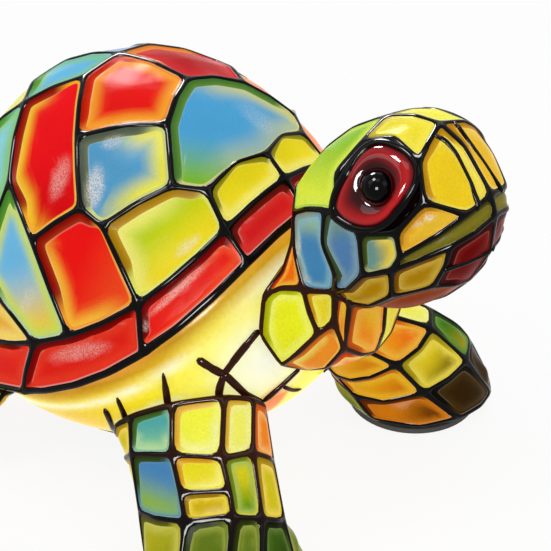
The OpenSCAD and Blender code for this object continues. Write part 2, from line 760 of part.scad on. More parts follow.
// Base plate with the door opening, hinge bores, screw holes and switch slot.
module base_plate() {
    color("dimgray") difference() {
        translate([0, 0, belly_height - plate_thickness])
            linear_extrude(plate_thickness)
                polygon([for (p = land_points(0, 0)) [p.x, p.y]]);
        translate([bay_x, 0, belly_height - plate_thickness / 2])
            cube([door_length + 2 * run_gap, door_width + 2 * run_gap, plate_thickness + 2], center = true);
        translate([bay_x - door_length / 2 - pin_reach - 0.5, hinge_y, hinge_z])
            rotate([0, 90, 0])
                cylinder(r = pin_radius + 0.05, h = door_length + 2 * pin_reach + 1);
        translate([bay_x, switch_y, belly_height - plate_thickness / 2])
            cube([switch_travel + stem_size.x + 1, stem_size.y + 2 * run_gap, plate_thickness + 2],
                 center = true);
        for (i = [0:3]) {
            translate(screw_spot(i) + [0, 0, belly_height - plate_thickness - 1])
                cylinder(r = screw_radius + screw_play, h = plate_thickness + 2);
            translate(screw_spot(i) + [0, 0, belly_height - plate_thickness - 1])
                cylinder(r = screw_head_radius + screw_play, h = screw_head_height + 1);
        }
    }
}
module base_screws() {
    color("silver") for (i = [0:3]) {
        translate(screw_spot(i) + [0, 0, belly_height - plate_thickness]) {
            cylinder(r = screw_head_radius, h = screw_head_height);
            cylinder(r = screw_radius, h = screw_length);
        }
    }
}

// Battery bay above the door
module battery_tray() {
    color("gray") translate([bay_x, 0, belly_height]) difference() {
        translate([-bay_length / 2 - tray_wall, -bay_width / 2 - tray_wall, 0])
            cube([bay_length + 2 * tray_wall, bay_width + 2 * tray_wall, tray_height + tray_wall]);
        translate([-bay_length / 2, -bay_width / 2, -1])
            cube([bay_length, bay_width, tray_height + 1]);
    }
}
cell_play = 0.3;
cell_pitch = 2 * cell_radius + cell_play;
cell_z = belly_height + tray_height - cell_radius - cell_play;
nub_radius = 1.9;
nub_length = 0.8;
leaf_width = 7;
module battery_cells() {
    color("seagreen") for (i = [-1, 1]) {
        translate([bay_x - i * (cell_length - nub_length) / 2, i * cell_pitch / 2, cell_z])
            rotate([0, i * 90, 0]) {
                cylinder(r = cell_radius, h = cell_length - nub_length);
                cylinder(r = nub_radius, h = cell_length);
            }
    }
}
// Bent leaves press on both ends of every cell.
module contact_leaves() {
    leaf_room = (bay_length - cell_length) / 2;
    color("silver") for (i = [-1, 1]) {
        for (side = [-1, 1]) {
            translate([bay_x + side * (bay_length / 2 - 0.1), i * cell_pitch / 2 - leaf_width / 2, cell_z])
                rotate([90, 0, 180])
                    mirror([side < 0 ? 1 : 0, 0, 0])
                        linear_extrude(leaf_width)
                            polygon([[0, -4], [0.4, -4], [0.4, 0.4], [leaf_room - 0.9, 4.5],
                                     [leaf_room - 1.1, 4.9], [0, 1]]);
        }
    }
}

// The door swings down about a pin along its right edge.
module battery_door() {
    color("dimgray") difference() {
        union() {
            translate([bay_x - door_length / 2, hinge_y, belly_height - plate_thickness])
                cube([door_length, door_width - plate_thickness / 2, plate_thickness]);
            translate([bay_x - door_length / 2, hinge_y, hinge_z])
                rotate([0, 90, 0])
                    cylinder(r = plate_thickness / 2, h = door_length);
        }
        translate([bay_x - door_length / 2 - 1, hinge_y, hinge_z])
            rotate([0, 90, 0])
                cylinder(r = pin_radius + 0.3, h = door_length + 2);
        translate([bay_x, door_width / 2, belly_height - plate_thickness])
            rotate([90, 0, 0])
                cylinder(r = notch_radius, h = notch_length, center = true);
    }
}
module door_pin() {
    color("silver") translate([bay_x - door_length / 2 - pin_reach, hinge_y, hinge_z])
        rotate([0, 90, 0])
            cylinder(r = pin_radius, h = door_length + 2 * pin_reach);
}

// Lamp board on posts, with its chips under an opal dome
module board_posts() {
    color("gray") for (a = [30, 150, 270]) {
        translate([bay_x, 0, tray_top] + (board_radius - 4) * [cos(a), sin(a), 0])
            cylinder(r = post_radius, h = post_height);
    }
}
module led_board() {
    color("white") translate([bay_x, 0, board_bottom])
        cylinder(r = board_radius, h = board_thickness);
}
module led_chips() {
    color("lightyellow") translate([bay_x, 0, board_bottom + board_thickness]) {
        translate([-chip_size / 2, -chip_size / 2, 0])
            cube([chip_size, chip_size, chip_height]);
        for (a = [0:60:300]) {
            rotate(a)
                translate([chip_circle - chip_size / 2, -chip_size / 2, 0])
                    cube([chip_size, chip_size, chip_height]);
        }
    }
}
module diffuser() {
    color("white") translate([bay_x, 0, board_bottom + board_thickness])
        difference() {
            sphere(board_radius);
            sphere(board_radius - diffuser_wall);
            translate([-2, -2, -2] * board_radius) cube([4, 4, 2] * board_radius);
        }
}

// Slide switch in the base plate
module switch_body() {
    color("gray") translate([bay_x, switch_y, belly_height]) difference() {
        translate([-switch_size.x / 2, -switch_size.y / 2, 0])
            cube(switch_size);
        translate([-switch_cavity.x / 2, -switch_cavity.y / 2, -1])
            cube(switch_cavity + [0, 0, 1]);
    }
}
module switch_slider() {
    color("black") translate([bay_x - switch_travel / 2, switch_y, belly_height]) {
        translate([-flange_size.x / 2, -flange_size.y / 2, run_gap])
            cube(flange_size);
        translate([-stem_size.x / 2, -stem_size.y / 2, -stem_drop])
            cube(stem_size);
    }
}

shell_came();
shell_rim_panes();
shell_red_panes();
shell_orange_panes();
shell_yellow_panes();
shell_blue_panes();
shell_green_panes();
body_shell();
head_came();
head_yellow_panes();
head_green_panes();
head_blue_panes();
head_amber_panes();
head_lip_panes();
head_jaw_panes();
neck_yellow_panes();
neck_orange_panes();
neck_green_panes();
eye_rings();
pupils();
front_right_leg_came();
front_left_leg_came();
rear_right_leg_came();
rear_left_leg_came();
leg_yellow_panes();
leg_orange_panes();
leg_green_panes();
leg_blue_panes();
leg_toe_panes();
tail();
foot_pads();
base_plate();
base_screws();
battery_tray();
battery_cells();
contact_leaves();
battery_door();
door_pin();
led_board();
board_posts();
led_chips();
diffuser();
switch_body();
switch_slider();
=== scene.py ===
"""Looks of the stained glass night light: bevelled glass, came, glowing body and a plain studio."""

import math

import bmesh
import bpy
import numpy as np
from mathutils import Matrix, Vector
from mathutils.bvhtree import BVHTree


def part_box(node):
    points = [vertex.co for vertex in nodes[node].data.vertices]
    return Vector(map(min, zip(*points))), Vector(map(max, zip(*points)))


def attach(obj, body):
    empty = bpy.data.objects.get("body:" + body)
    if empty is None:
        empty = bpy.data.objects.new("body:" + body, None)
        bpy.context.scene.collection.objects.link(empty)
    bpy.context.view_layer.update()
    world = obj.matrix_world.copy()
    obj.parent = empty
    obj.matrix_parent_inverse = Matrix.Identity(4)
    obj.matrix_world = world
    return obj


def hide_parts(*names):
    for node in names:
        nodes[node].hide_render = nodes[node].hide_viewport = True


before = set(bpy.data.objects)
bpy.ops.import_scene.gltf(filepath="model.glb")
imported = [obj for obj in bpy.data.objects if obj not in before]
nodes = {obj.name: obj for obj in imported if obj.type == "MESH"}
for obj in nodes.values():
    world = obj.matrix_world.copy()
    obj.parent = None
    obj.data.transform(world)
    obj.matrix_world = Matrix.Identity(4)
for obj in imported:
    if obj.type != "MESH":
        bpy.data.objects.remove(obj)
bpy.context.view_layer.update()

# View of the photograph, in metres, degrees and pixels
VIEW_TURN = math.radians(38.11)
VIEW_RISE = math.radians(32.02)
VIEW_FROM = Vector((0.31219, -0.36850, 0.36893))
VIEW_LENS = 118.07
VIEW_SENSOR = 36
VIEW_PIXELS = 551
FOCAL = VIEW_LENS / VIEW_SENSOR * VIEW_PIXELS
MIDDLE = VIEW_PIXELS / 2
BACK = Vector((math.sin(VIEW_TURN) * math.cos(VIEW_RISE),
               -math.cos(VIEW_TURN) * math.cos(VIEW_RISE),
               math.sin(VIEW_RISE)))
RIGHT = Vector((math.cos(VIEW_TURN), math.sin(VIEW_TURN), 0))
UP = BACK.cross(RIGHT)
# Turns a point into its twin on the lamp's other side
MIRROR = np.array([1, -1, 1])
# Millimetres in a metre, and a value that keeps divisions off zero
MM = 1000
TINY = 1e-9


def pixel_ray(x, y):
    """Direction from the camera through a pixel of the photograph."""
    x, y = float(x), float(y)
    return ((x - MIDDLE) / FOCAL * RIGHT - (y - MIDDLE) / FOCAL * UP - BACK).normalized()


def pixels(points):
    """Places in the photograph of points given in metres."""
    away = points - np.array(VIEW_FROM)
    scale = -FOCAL / (away @ np.array(BACK))
    return np.stack([MIDDLE + scale * (away @ np.array(RIGHT)), MIDDLE - scale * (away @ np.array(UP))], 1)


def linear(red, green, blue):
    """A display colour from 0 to 255 as linear light."""
    out = []
    for value in (red, green, blue):
        c = value / 255
        out.append(c / 12.92 if c <= 0.04045 else ((c + 0.055) / 1.055) ** 2.4)
    return np.array(out)


def smooth(x):
    """A soft step: 0 up to 0, 1 from 1 on."""
    x = np.clip(x, 0, 1)
    return x * x * (3 - 2 * x)


def unit(v):
    """Vectors scaled to length 1."""
    return v / np.maximum(np.linalg.norm(v, axis=-1, keepdims=True), TINY)


def evened(ring, passes):
    """Values round a closed ring, moved a number of times towards their neighbours."""
    for _ in range(passes):
        ring = ring * 0.5 + (np.roll(ring, 1, 0) + np.roll(ring, -1, 0)) / 4
    return ring


def fixed(right, up):
    """A direction of the photograph's view, held fixed in the lamp's frame."""
    return unit(np.array(right * RIGHT + up * UP))


def stepped(value, steps):
    """Colours read from a list of values with their display colours."""
    table = np.array([linear(*colour) for _, colour in steps])
    return np.stack([np.interp(value, [at for at, _ in steps], table[:, k]) for k in range(3)], 1)


# Glass: the side on which a pane's wall gets painted shade, and the white of its painted highlight lines
DARK_SIDE = fixed(-0.8, 0.6)
HIGHLIGHT_WHITE = linear(255, 252, 240)


class Glass:
    """Colours of a pane: face, face edge, shaded wall, and how far in mm the edge colour reaches.

    side is where the edge colour is strongest, drift where the face turns to another colour, from start on.
    wall is the share of the CAD wall's width that the shaded wall keeps.
    """

    def __init__(self, core, edge, dark, reach=5.0, side=None, drift=None, drift_to=None,
                 start=0.2, wall=1.0):
        self.core = linear(*core)
        self.edge = linear(*edge)
        self.dark = linear(*dark)
        self.reach = reach
        self.side = None if side is None else fixed(*side)
        self.drift = None if drift is None else fixed(*drift)
        self.drift_to = None if drift_to is None else linear(*drift_to)
        self.start = start
        self.wall = wall


GLASS = {
    "ruby_tall": Glass((242, 22, 28), (253, 205, 50), (160, 14, 10), 6, (-1, 0),
                       (0.3, -1), (220, 12, 20), 0.3),
    "ruby_low": Glass((240, 24, 22), (253, 190, 60), (160, 14, 10), 5.5,
                      (-0.6, -0.8), (0.9, -0.4), (246, 76, 34), 0.35),
    "ruby_top": Glass((190, 16, 22), (214, 44, 48), (250, 146, 54), 6),
    "pentagon": Glass((236, 26, 24), (252, 166, 50), (212, 30, 8), 5.5),
    "orange_side": Glass((250, 118, 30), (252, 152, 50), (200, 40, 20), 6),
    "sunset": Glass((250, 202, 60), (250, 220, 110), (200, 120, 30), 6,
                    drift=(0, -1), drift_to=(240, 150, 40)),
    "lime": Glass((186, 214, 24), (246, 240, 120), (188, 140, 16), 7, (-1, 0), (0.7, -0.7), (250, 226, 40)),
    "gold_strip": Glass((236, 216, 30), (252, 242, 120), (150, 142, 12), 3, (1, -1),
                        (0.6, -0.8), (252, 230, 40), wall=0.65),
    "yellow_top": Glass((225, 220, 60), (236, 236, 120), (160, 150, 30)),
    "blue_gold": Glass((86, 160, 204), (238, 232, 70), (92, 104, 88), 8, side=(1, 0)),
    "blue_big": Glass((78, 165, 216), (240, 224, 56), (80, 134, 56), 9, (0.8, 0.7),
                      (-0.2, -1), (124, 186, 50), 0.5),
    "blue_lean": Glass((112, 188, 230), (210, 226, 100), (80, 150, 50), 5, None,
                       (0.3, -1), (250, 210, 40), 0.4),
    "blue_left": Glass((140, 214, 226), (140, 205, 130), (90, 165, 60), 7),
    "blue_sliver": Glass((110, 150, 200), (150, 180, 215), (70, 100, 120)),
    "green_top": Glass((100, 190, 230), (130, 200, 150), (90, 165, 30)),
    "rim_mid": Glass((244, 36, 26), (250, 84, 44), (130, 8, 12), 5, side=(0.7, 0.7), wall=0.8),
    "rim_left": Glass((232, 34, 24), (236, 58, 36), (134, 4, 4), 4, wall=0.8),
    "rim_front": Glass((222, 34, 36), (226, 56, 50), (110, 24, 20), 4, wall=0.8),
    "crown": Glass((244, 226, 50), (250, 236, 80), (206, 180, 30), 4),
    "crown_top": Glass((250, 244, 70), (250, 246, 110), (220, 200, 40), 4),
    "snout": Glass((246, 210, 34), (252, 236, 100), (206, 150, 20), 5, side=(0.7, 0.7)),
    "snout_front": Glass((244, 196, 50), (252, 226, 130), (200, 140, 20), 5, side=(0.7, 0.6)),
    "chin": Glass((136, 50, 0), (146, 62, 4), (84, 26, 2), 3),
    "lime_strip": Glass((146, 200, 50), (222, 240, 84), (120, 170, 30), 4, None,
                        (-0.3, -1), (232, 244, 70)),
    "cheek_back": Glass((70, 138, 188), (140, 186, 196), (150, 172, 160), 3, None,
                        (0.2, 1), (166, 198, 140), 0.6),
    "cheek_middle": Glass((84, 130, 178), (130, 162, 172), (60, 80, 40), 3, None,
                          (-0.3, 1), (116, 150, 110), 0.6),
    "cheek_front": Glass((110, 152, 142), (234, 214, 90), (60, 80, 24), 3, (1, 0.3),
                         (0.9, 0.2), (226, 192, 36)),
    "cheek_amber": Glass((240, 192, 52), (226, 158, 40), (196, 138, 24), 6, side=(-1, 0)),
    "jaw_gold": Glass((180, 132, 10), (204, 172, 60), (130, 80, 4), 3),
    "lip": Glass((128, 120, 36), (112, 104, 26), (80, 74, 16), 3),
    "jaw_red": Glass((104, 2, 4), (122, 26, 16), (60, 2, 4), 3),
    "neck_lime": Glass((244, 246, 36), (250, 252, 110), (196, 200, 6), 3),
    "neck_yellow": Glass((246, 224, 46), (250, 240, 90), (226, 162, 20), 4),
    "neck_low": Glass((248, 150, 40), (252, 236, 110), (220, 110, 20), 8, side=(-0.8, -0.6)),
    "neck_orange": Glass((246, 142, 28), (250, 186, 70), (206, 86, 16), 4, None,
                         (0.6, 0.8), (246, 206, 50)),
    "neck_wedge": Glass((246, 112, 20), (250, 192, 60), (220, 60, 10), 4),
    "neck_red": Glass((250, 122, 36), (252, 210, 110), (226, 70, 20), 4),
    "leg_teal": Glass((84, 172, 168), (186, 222, 160), (66, 106, 40), 4, (0, -1), (0, -1), (134, 200, 152)),
    "leg_blue": Glass((76, 136, 188), (130, 176, 130), (50, 72, 22), 3, (0, -1),
                      (-0.3, -1), (150, 188, 30)),
    "leg_bright": Glass((250, 250, 70), (254, 252, 160), (246, 190, 40), 4, side=(0.6, -0.8)),
    "leg_sunny": Glass((240, 226, 40), (252, 242, 116), (236, 172, 26), 4, side=(0.6, -0.6)),
    "leg_gold": Glass((216, 182, 20), (242, 218, 70), (170, 130, 14), 3),
    "leg_pale": Glass((250, 248, 100), (252, 250, 150), (240, 190, 60), 4),
    "leg_side": Glass((216, 200, 20), (250, 220, 90), (184, 150, 20), 3),
    "leg_orange": Glass((252, 138, 30), (252, 190, 110), (230, 100, 20), 3),
    "leg_green": Glass((222, 212, 26), (176, 196, 90), (120, 140, 30), 3, None, (0, -1), (92, 148, 10)),
    "toe": Glass((150, 148, 36), (170, 168, 70), (70, 76, 20), 4, None, (0.8, -0.4), (84, 122, 26)),
    "toe_olive": Glass((178, 172, 30), (200, 196, 80), (90, 90, 20), 4, None, (0.7, -0.7), (120, 140, 30)),
    "toe_green": Glass((100, 122, 30), (146, 158, 60), (44, 54, 14), 3, None, (0.5, -1), (58, 84, 20)),
    "toe_dark": Glass((60, 92, 20), (90, 120, 40), (20, 30, 8), 3, None, (1, -0.3), (28, 42, 10)),
    "far_orange": Glass((248, 160, 28), (248, 190, 66), (230, 104, 24), 4, None,
                        (0.7, 0.4), (252, 100, 24)),
    "far_amber": Glass((246, 178, 18), (246, 194, 44), (214, 124, 16), 4, None,
                       (0.8, -0.3), (220, 112, 16)),
    "far_yellow": Glass((232, 206, 34), (238, 220, 80), (180, 160, 20), 4, None,
                        (0.9, -0.5), (116, 96, 10)),
    "far_green": Glass((64, 124, 26), (106, 146, 56), (40, 70, 16), 3, None, (0.5, -0.8), (170, 150, 22)),
    "far_toe": Glass((52, 34, 8), (70, 50, 16), (16, 12, 6), 4),
    # The far sole turns almost black across the pane: painted shade under the foot
    "far_sole": Glass((224, 132, 14), (214, 126, 24), (110, 44, 8), 4, None, (1, 0.1), (48, 12, 4)),
}

# The usual glass of each pane node, and the glass of the panes at given pixels of the photograph
PANES = {
    "shell_rim_panes": ("rim_left", {(184, 293): "rim_mid", (267, 218): "rim_front"}),
    "shell_red_panes": ("ruby_low", {(49, 155): "ruby_tall", (189, 62): "ruby_top"}),
    "shell_orange_panes": ("sunset", {(129, 93): "pentagon", (263, 91): "orange_side"}),
    "shell_yellow_panes": ("yellow_top", {(163, 237): "lime", (246, 184): "gold_strip"}),
    "shell_blue_panes": ("blue_left", {
        (122, 169): "blue_gold", (229, 126): "blue_big", (20, 268): "blue_lean", (102, 54): "blue_sliver"}),
    "shell_green_panes": ("green_top", {(316, 144): "orange_side"}),
    "head_yellow_panes": ("crown", {(432, 115): "crown_top", (449, 169): "snout", (478, 149): "snout_front",
                                    (409, 298): "chin"}),
    "head_green_panes": ("lime_strip", {}),
    "head_blue_panes": ("cheek_middle", {(313, 249): "cheek_back", (381, 254): "cheek_front"}),
    "head_amber_panes": ("jaw_gold", {(424, 229): "cheek_amber"}),
    "head_lip_panes": ("lip", {}),
    "head_jaw_panes": ("jaw_red", {}),
    "neck_yellow_panes": ("neck_yellow", {(316, 353): "neck_low"}),
    "neck_orange_panes": ("neck_orange", {(286, 264): "neck_wedge", (344, 361): "neck_red"}),
    "neck_green_panes": ("neck_lime", {}),
    "leg_yellow_panes": ("leg_side", {
        (197, 429): "leg_bright", (200, 474): "leg_sunny", (207, 506): "leg_gold", (239, 427): "leg_pale",
        (432, 362): "far_yellow", (400, 307): "leg_pale", (349, 365): "far_amber"}),
    "leg_orange_panes": ("leg_orange", {
        (389, 337): "far_orange", (374, 385): "far_amber", (3, 400): "leg_pale"}),
    "leg_green_panes": ("leg_green", {(452, 332): "far_green"}),
    "leg_blue_panes": ("leg_blue", {(150, 436): "leg_teal"}),
    "leg_toe_panes": ("toe", {(402, 410): "far_sole", (463, 391): "far_toe", (480, 366): "far_toe",
                              (157, 551): "toe_olive", (203, 568): "toe_green", (245, 569): "toe_green",
                              (279, 560): "toe_dark"}),
}
# How near to such a place, in pixels, a pane's middle has to lie
SAME_PLACE = 12

# Ovals are full up to one share of their size, and fade over another
OVAL_CORE = 0.5
OVAL_FADE = 0.8
# Painted highlights, grainy white spots on the glass: pixel place, half sizes along and across, lean in
# degrees, strength
GLARE_SPOTS = [
    (95, 187, 22, 9, 82, 1.0),
    (112, 142, 12, 6, 20, 0.6),
    (60, 178, 22, 8, 70, 0.5),
    (178, 290, 40, 4, 42, 0.6),
    (146, 326, 6, 3, 80, 0.7),
    (80, 352, 30, 8, 12, 0.45),
    (258, 118, 24, 9, -40, 0.25),
    (188, 246, 16, 5, 40, 0.7),
    (28, 300, 14, 6, 60, 0.4),
    (429, 218, 5, 4, 0, 1.0),
    (419, 224, 4, 3, 0, 0.8),
    (427, 198, 3, 3, 0, 0.6),
    (298, 246, 10, 3, 85, 0.7),
    (304, 280, 6, 5, 0, 0.6),
]


def middle_of(node):
    """Middle of a CAD node's box."""
    low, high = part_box(node)
    return (Vector(low) + Vector(high)) / 2


# Points inside the lamp, by which a pane knows its outer side
LEG_CAMES = ("front_right_leg_came", "front_left_leg_came", "rear_right_leg_came", "rear_left_leg_came")
HEAD_MIDDLE = middle_of("head_blue_panes")
INSIDE = {
    "shell": [middle_of("body_shell")],
    "head": [HEAD_MIDDLE],
    "neck": [middle_of("neck_yellow_panes")],
    "leg": [middle_of(node) for node in LEG_CAMES],
}

# Points nearer than this, in metres, are one
WELD = 4e-6
# A pane has a top point, three or four rings and a bottom point
PANE_LAYERS = (5, 6)


def welded(node):
    """The mesh of a CAD node with the points of neighbouring faces joined."""
    bm = bmesh.new()
    bm.from_mesh(nodes[node].data)
    bmesh.ops.remove_doubles(bm, verts=bm.verts, dist=WELD)
    bm.verts.ensure_lookup_table()
    return bm


def layers_from(start):
    """Points of a solid by the number of edges between them and the start."""
    seen = {start}
    layers = [[start]]
    while True:
        found = []
        for v in layers[-1]:
            for e in v.link_edges:
                w = e.other_vert(v)
                if w not in seen:
                    seen.add(w)
                    found.append(w)
        if not found:
            return layers
        layers.append(found)


def in_order(ring):
    """The points of a ring one after the other."""
    members = set(ring)
    order = [ring[0]]
    while len(order) < len(ring):
        last = order[-1]
        nexts = [e.other_vert(last) for e in last.link_edges]
        nexts = [v for v in nexts if v in members and v not in order]
        if not nexts:
            return None
        order.append(nexts[0])
    return np.array([v.co for v in order])


def matched(ring, to):
    """The ring turned, and flipped if need be, so that its points face those of another ring."""
    best = None
    for flip in (ring, ring[::-1]):
        for k in range(len(ring)):
            turned = np.roll(flip, k, axis=0)
            cost = np.sum((turned - to) ** 2)
            if best is None or cost < best[0]:
                best = (cost, turned)
    return best[1]


def pane_rings(node):
    """For each pane of a node: top point, rings from the face outwards and down, bottom point, in mm."""
    bm = welded(node)
    left = set(bm.verts)
    found = []
    for start in bm.verts:
        if start not in left:
            continue
        island = [v for layer in layers_from(start) for v in layer]
        left -= set(island)
        poles = []
        for v in island:
            layers = layers_from(v)
            sizes = [len(layer) for layer in layers]
            if len(sizes) in PANE_LAYERS and sizes[0] == sizes[-1] == 1 and len(set(sizes[1:-1])) == 1:
                poles.append(layers)
        middle = sum((v.co for v in island), Vector()) / len(island)
        inner = min(INSIDE[node.split("_")[0]], key=lambda p: (p - middle).length)
        poles = [p for p in poles if (p[0][0].co - p[-1][0].co).dot(middle - inner) > 0]
        layers = poles[0]
        rings = [in_order(layer) for layer in layers[1:-1]]
        for k in range(1, len(rings)):
            rings[k] = matched(rings[k], rings[k - 1])
        found.append((np.array(layers[0][0].co) * MM, [r * MM for r in rings],
                      np.array(layers[-1][0].co) * MM))
    bm.free()
    return found


def look_of(node, middle):
    """The glass of a pane by its own place in the photograph or its twin's, and which of the two it was."""
    usual, places = PANES[node]
    turns = (np.ones(3), MIRROR) if middle[1] > 0 else (np.ones(3),)
    for turn in turns:
        spot = pixels((middle * turn / MM)[None])[0]
        for place, look in places.items():
            if math.dist(spot, place) < SAME_PLACE:
                return GLASS[look], turn
    return GLASS[usual], turns[-1]


def in_oval(spot, x, y, along, across, lean):
    """1 for pixels well inside a leaning oval, 0 outside, with a soft edge."""
    c, s = math.cos(math.radians(lean)), math.sin(math.radians(lean))
    dx, dy = spot[:, 0] - x, y - spot[:, 1]
    away = np.hypot((dx * c + dy * s) / along, (dy * c - dx * s) / across)
    return 1 - smooth((away - OVAL_CORE) / OVAL_FADE)


def glare_at(points):
    """Strength of the painted highlight at points given in mm."""
    spot = pixels(points / MM)
    total = np.zeros(len(points))
    for *oval, strength in GLARE_SPOTS:
        total = np.maximum(total, strength * in_oval(spot, *oval))
    return total


# Rounding of a pane's outline: share of a side taken by each corner, and weight of a point's own place
CORNER = 0.16
KEEP = 0.75


def rounded(ring, large):
    """A closed ring with points added along its sides and its corners a little rounded."""
    after = np.roll(ring, -1, 0)
    shares = (0, CORNER, 0.5, 1 - CORNER)
    ring = np.stack([ring * (1 - s) + after * s for s in shares], 1).reshape(-1, 3)
    kept = ring * KEEP + (np.roll(ring, 1, 0) + np.roll(ring, -1, 0)) * (1 - KEEP) / 2
    if not large:
        return kept
    return np.stack([kept, (ring + np.roll(ring, -1, 0)) / 2], 1).reshape(-1, 3)


# How far a pane reaches under the came, in mm
TUCK = 0.6
# Rows of points up the wall, and over the face from its edge to its top, as shares of the way
WALL_ROWS = (0.0, 0.22, 0.55, 0.92)
FACE_ROWS = (0.0, 0.03, 0.07, 0.13, 0.21, 0.31, 0.43, 0.57, 0.72, 0.88)
# Panes with this many rings have an inner one on their face, at a share of that way
RINGS_WITH_INNER = 4
INNER_AT = 0.55
# Times that rings are evened out: the wall's shade and the face's edge on small and large panes, and the
# face's rows, which get more of it towards the top
SHADE_EVENING = (2, 8)
EDGE_EVENING = (1, 3)
FACE_EVENING = 8
# Walls: strength of the painted highlight lines at the came and at the face, share of the face colour on the
# bright side, and width on the dark and the bright side
SHELL_WALL = (0.4, 0.16, 0.3, 1.0, 0.4)
SMALL_WALL = (0.2, 0.06, 0.6, 0.7, 0.3)
# A wall turns dark or bright from a value of its shade on, and fully so over a range after it
DARK_FROM = -0.1
DARK_OVER = 0.35
BRIGHT_FROM = 0.1
BRIGHT_OVER = 0.5
# Walls in painted shade: brightness at the foot and its rise, and the face's edge colour that shines in from
# a height on
DARK_FOOT = 0.65
DARK_RISE = 0.4
WALL_GLOW = 0.06
GLOW_FROM = 0.3
# Height up to which a bright wall has a painted highlight line, and width in mm of the fine painted highlight
# line on the face
PALE_UP_TO = 0.5
EDGE_LINE = 0.5
# The edge colour reaches in by this share of the face's depth at most, and varies with the side it is on
REACH_MOST = 0.8
SIDE_MIDDLE = 0.45
SIDE_GAIN = 0.9


def curved(first, middle, last, at, k):
    """Places at share k on curves from first to last points, which pass the middle ones at another share."""
    return (first * (k - at) * (k - 1) / at + middle * k * (k - 1) / (at * (at - 1))
            + last * k * (k - at) / (1 - at))


def face_row(edge, inner, top, up, k):
    """A ring of the face at share k of the way from its edge to its top."""
    if inner is None:
        bulge = (1 - (1 - k) ** 2 - k) * ((top - edge) @ up)
        row = edge + (top - edge) * k + bulge[:, None] * up
    else:
        row = curved(edge, inner, top, INNER_AT, k)
    return evened(row, int(k * FACE_EVENING))


def wall_colours(glass, height, dark, bright, pale, plain):
    """Colours of a ring of the wall at a share of its height: painted shade on the dark side, the face's
    colours and a painted highlight line on the bright side.
    """
    line = pale * max(0.0, 1 - height / PALE_UP_TO) * bright
    sunny = (glass.edge * (1 - plain) + glass.core * plain) * (1 - line) + HIGHLIGHT_WHITE * line
    lit = WALL_GLOW * smooth((height - GLOW_FROM) / (1 - GLOW_FROM))
    shaded = glass.dark * (DARK_FOOT + DARK_RISE * height) * (1 - lit) + glass.edge * lit
    return shaded * dark + sunny * (1 - dark)


def face_colours(glass, spots, edge, out, turn, dark, fine):
    """Colours of the face's points: the glass's own colour, its edge colour and a fine painted highlight
    line.
    """
    gaps = np.linalg.norm(spots[:, None, :] - edge[None, :, :], axis=2)
    near = gaps.argmin(1)
    depth = gaps.min(1)
    weight = 1 - smooth(depth / min(glass.reach, REACH_MOST * depth.max()))
    if glass.side is not None:
        weight = weight * smooth(SIDE_MIDDLE + SIDE_GAIN * ((out[near] * turn) @ glass.side))
    core = np.tile(glass.core, (len(spots), 1))
    if glass.drift is not None:
        along = ((spots - spots.mean(0)) * turn) @ glass.drift
        along = (along - along.min()) / (np.ptp(along) + TINY)
        along = smooth((along - glass.start) / (1 - glass.start))[:, None]
        core = core * (1 - along) + glass.drift_to * along
    shown = core * (1 - weight[:, None]) + glass.edge * weight[:, None]
    line = (fine * smooth(1 - depth / EDGE_LINE) * dark[near, 0])[:, None]
    return shown * (1 - line) + HIGHLIGHT_WHITE * line


def pane_faces(rows, n, flip):
    """Faces of a pane of rings of n points: quads between rings, and fans to the top and the bottom point."""
    faces = []
    for start in range(0, (rows - 1) * n, n):
        for i in range(n):
            j = (i + 1) % n
            faces.append((start + i, start + j, start + n + j, start + n + i))
    last = (rows - 1) * n
    for i in range(n):
        j = (i + 1) % n
        faces.append((last + i, last + j, rows * n))
        faces.append((j, i, rows * n + 1))
    return [face[::-1] for face in faces] if flip else faces


def pane_mesh(top, rings, bottom, glass, turn, large):
    """Points, faces and colours of one smooth pane with sloping walls; the fourth colour is the painted
    highlight.
    """
    up = unit(top - bottom)
    low, rim, edge = (rounded(r, large) for r in (rings[-1], rings[-2], rings[-3]))
    inner = rounded(rings[0], large) if len(rings) == RINGS_WITH_INNER else None
    n = len(rim)
    wall = unit(rim - low)
    out = rim - edge
    out = unit(out - np.sum(out * wall, 1, keepdims=True) * wall)
    rim = rim + TUCK * out
    low = low + TUCK * out
    shade = evened((out * turn) @ DARK_SIDE, SHADE_EVENING[large])
    dark = smooth((shade - DARK_FROM) / DARK_OVER)[:, None]
    bright = smooth((-shade - BRIGHT_FROM) / BRIGHT_OVER)[:, None]
    pale, fine, plain, wide, narrow = SMALL_WALL if inner is None else SHELL_WALL
    edge = evened(rim + (edge - rim) * (narrow + (wide * glass.wall - narrow) * dark), EDGE_EVENING[large])
    walls = [rim + (edge - rim) * height for height in WALL_ROWS]
    face = [face_row(edge, inner, top, up, k) for k in FACE_ROWS]
    points = np.concatenate([low, *walls, *face, [top], [bottom]])
    foot = np.tile(glass.dark, (n, 1))
    tints = [wall_colours(glass, height, dark, bright, pale, plain) for height in WALL_ROWS]
    shown = face_colours(glass, np.concatenate([*face, [top]]), edge, out, turn, dark, fine)
    colours = np.concatenate([foot, *tints, shown, [glass.dark]])
    # Painted highlights go only on panes whose top faces the camera's place
    facing = ((np.array(VIEW_FROM) * MM - top * turn) @ (up * turn)) > 0
    glare = glare_at(points * turn) * facing
    flip = np.dot(np.cross(edge[0] - top, edge[1] - top), up) < 0
    faces = pane_faces(1 + len(walls) + len(face), n, flip)
    return points / MM, faces, np.column_stack([colours, glare])


def new_piece(name, points, faces):
    """A smooth-shaded object in the scene."""
    mesh = bpy.data.meshes.new(name)
    mesh.from_pydata([tuple(p) for p in points], [], faces)
    mesh.polygons.foreach_set("use_smooth", [True] * len(mesh.polygons))
    mesh.update()
    piece = bpy.data.objects.new(name, mesh)
    bpy.context.scene.collection.objects.link(piece)
    return piece


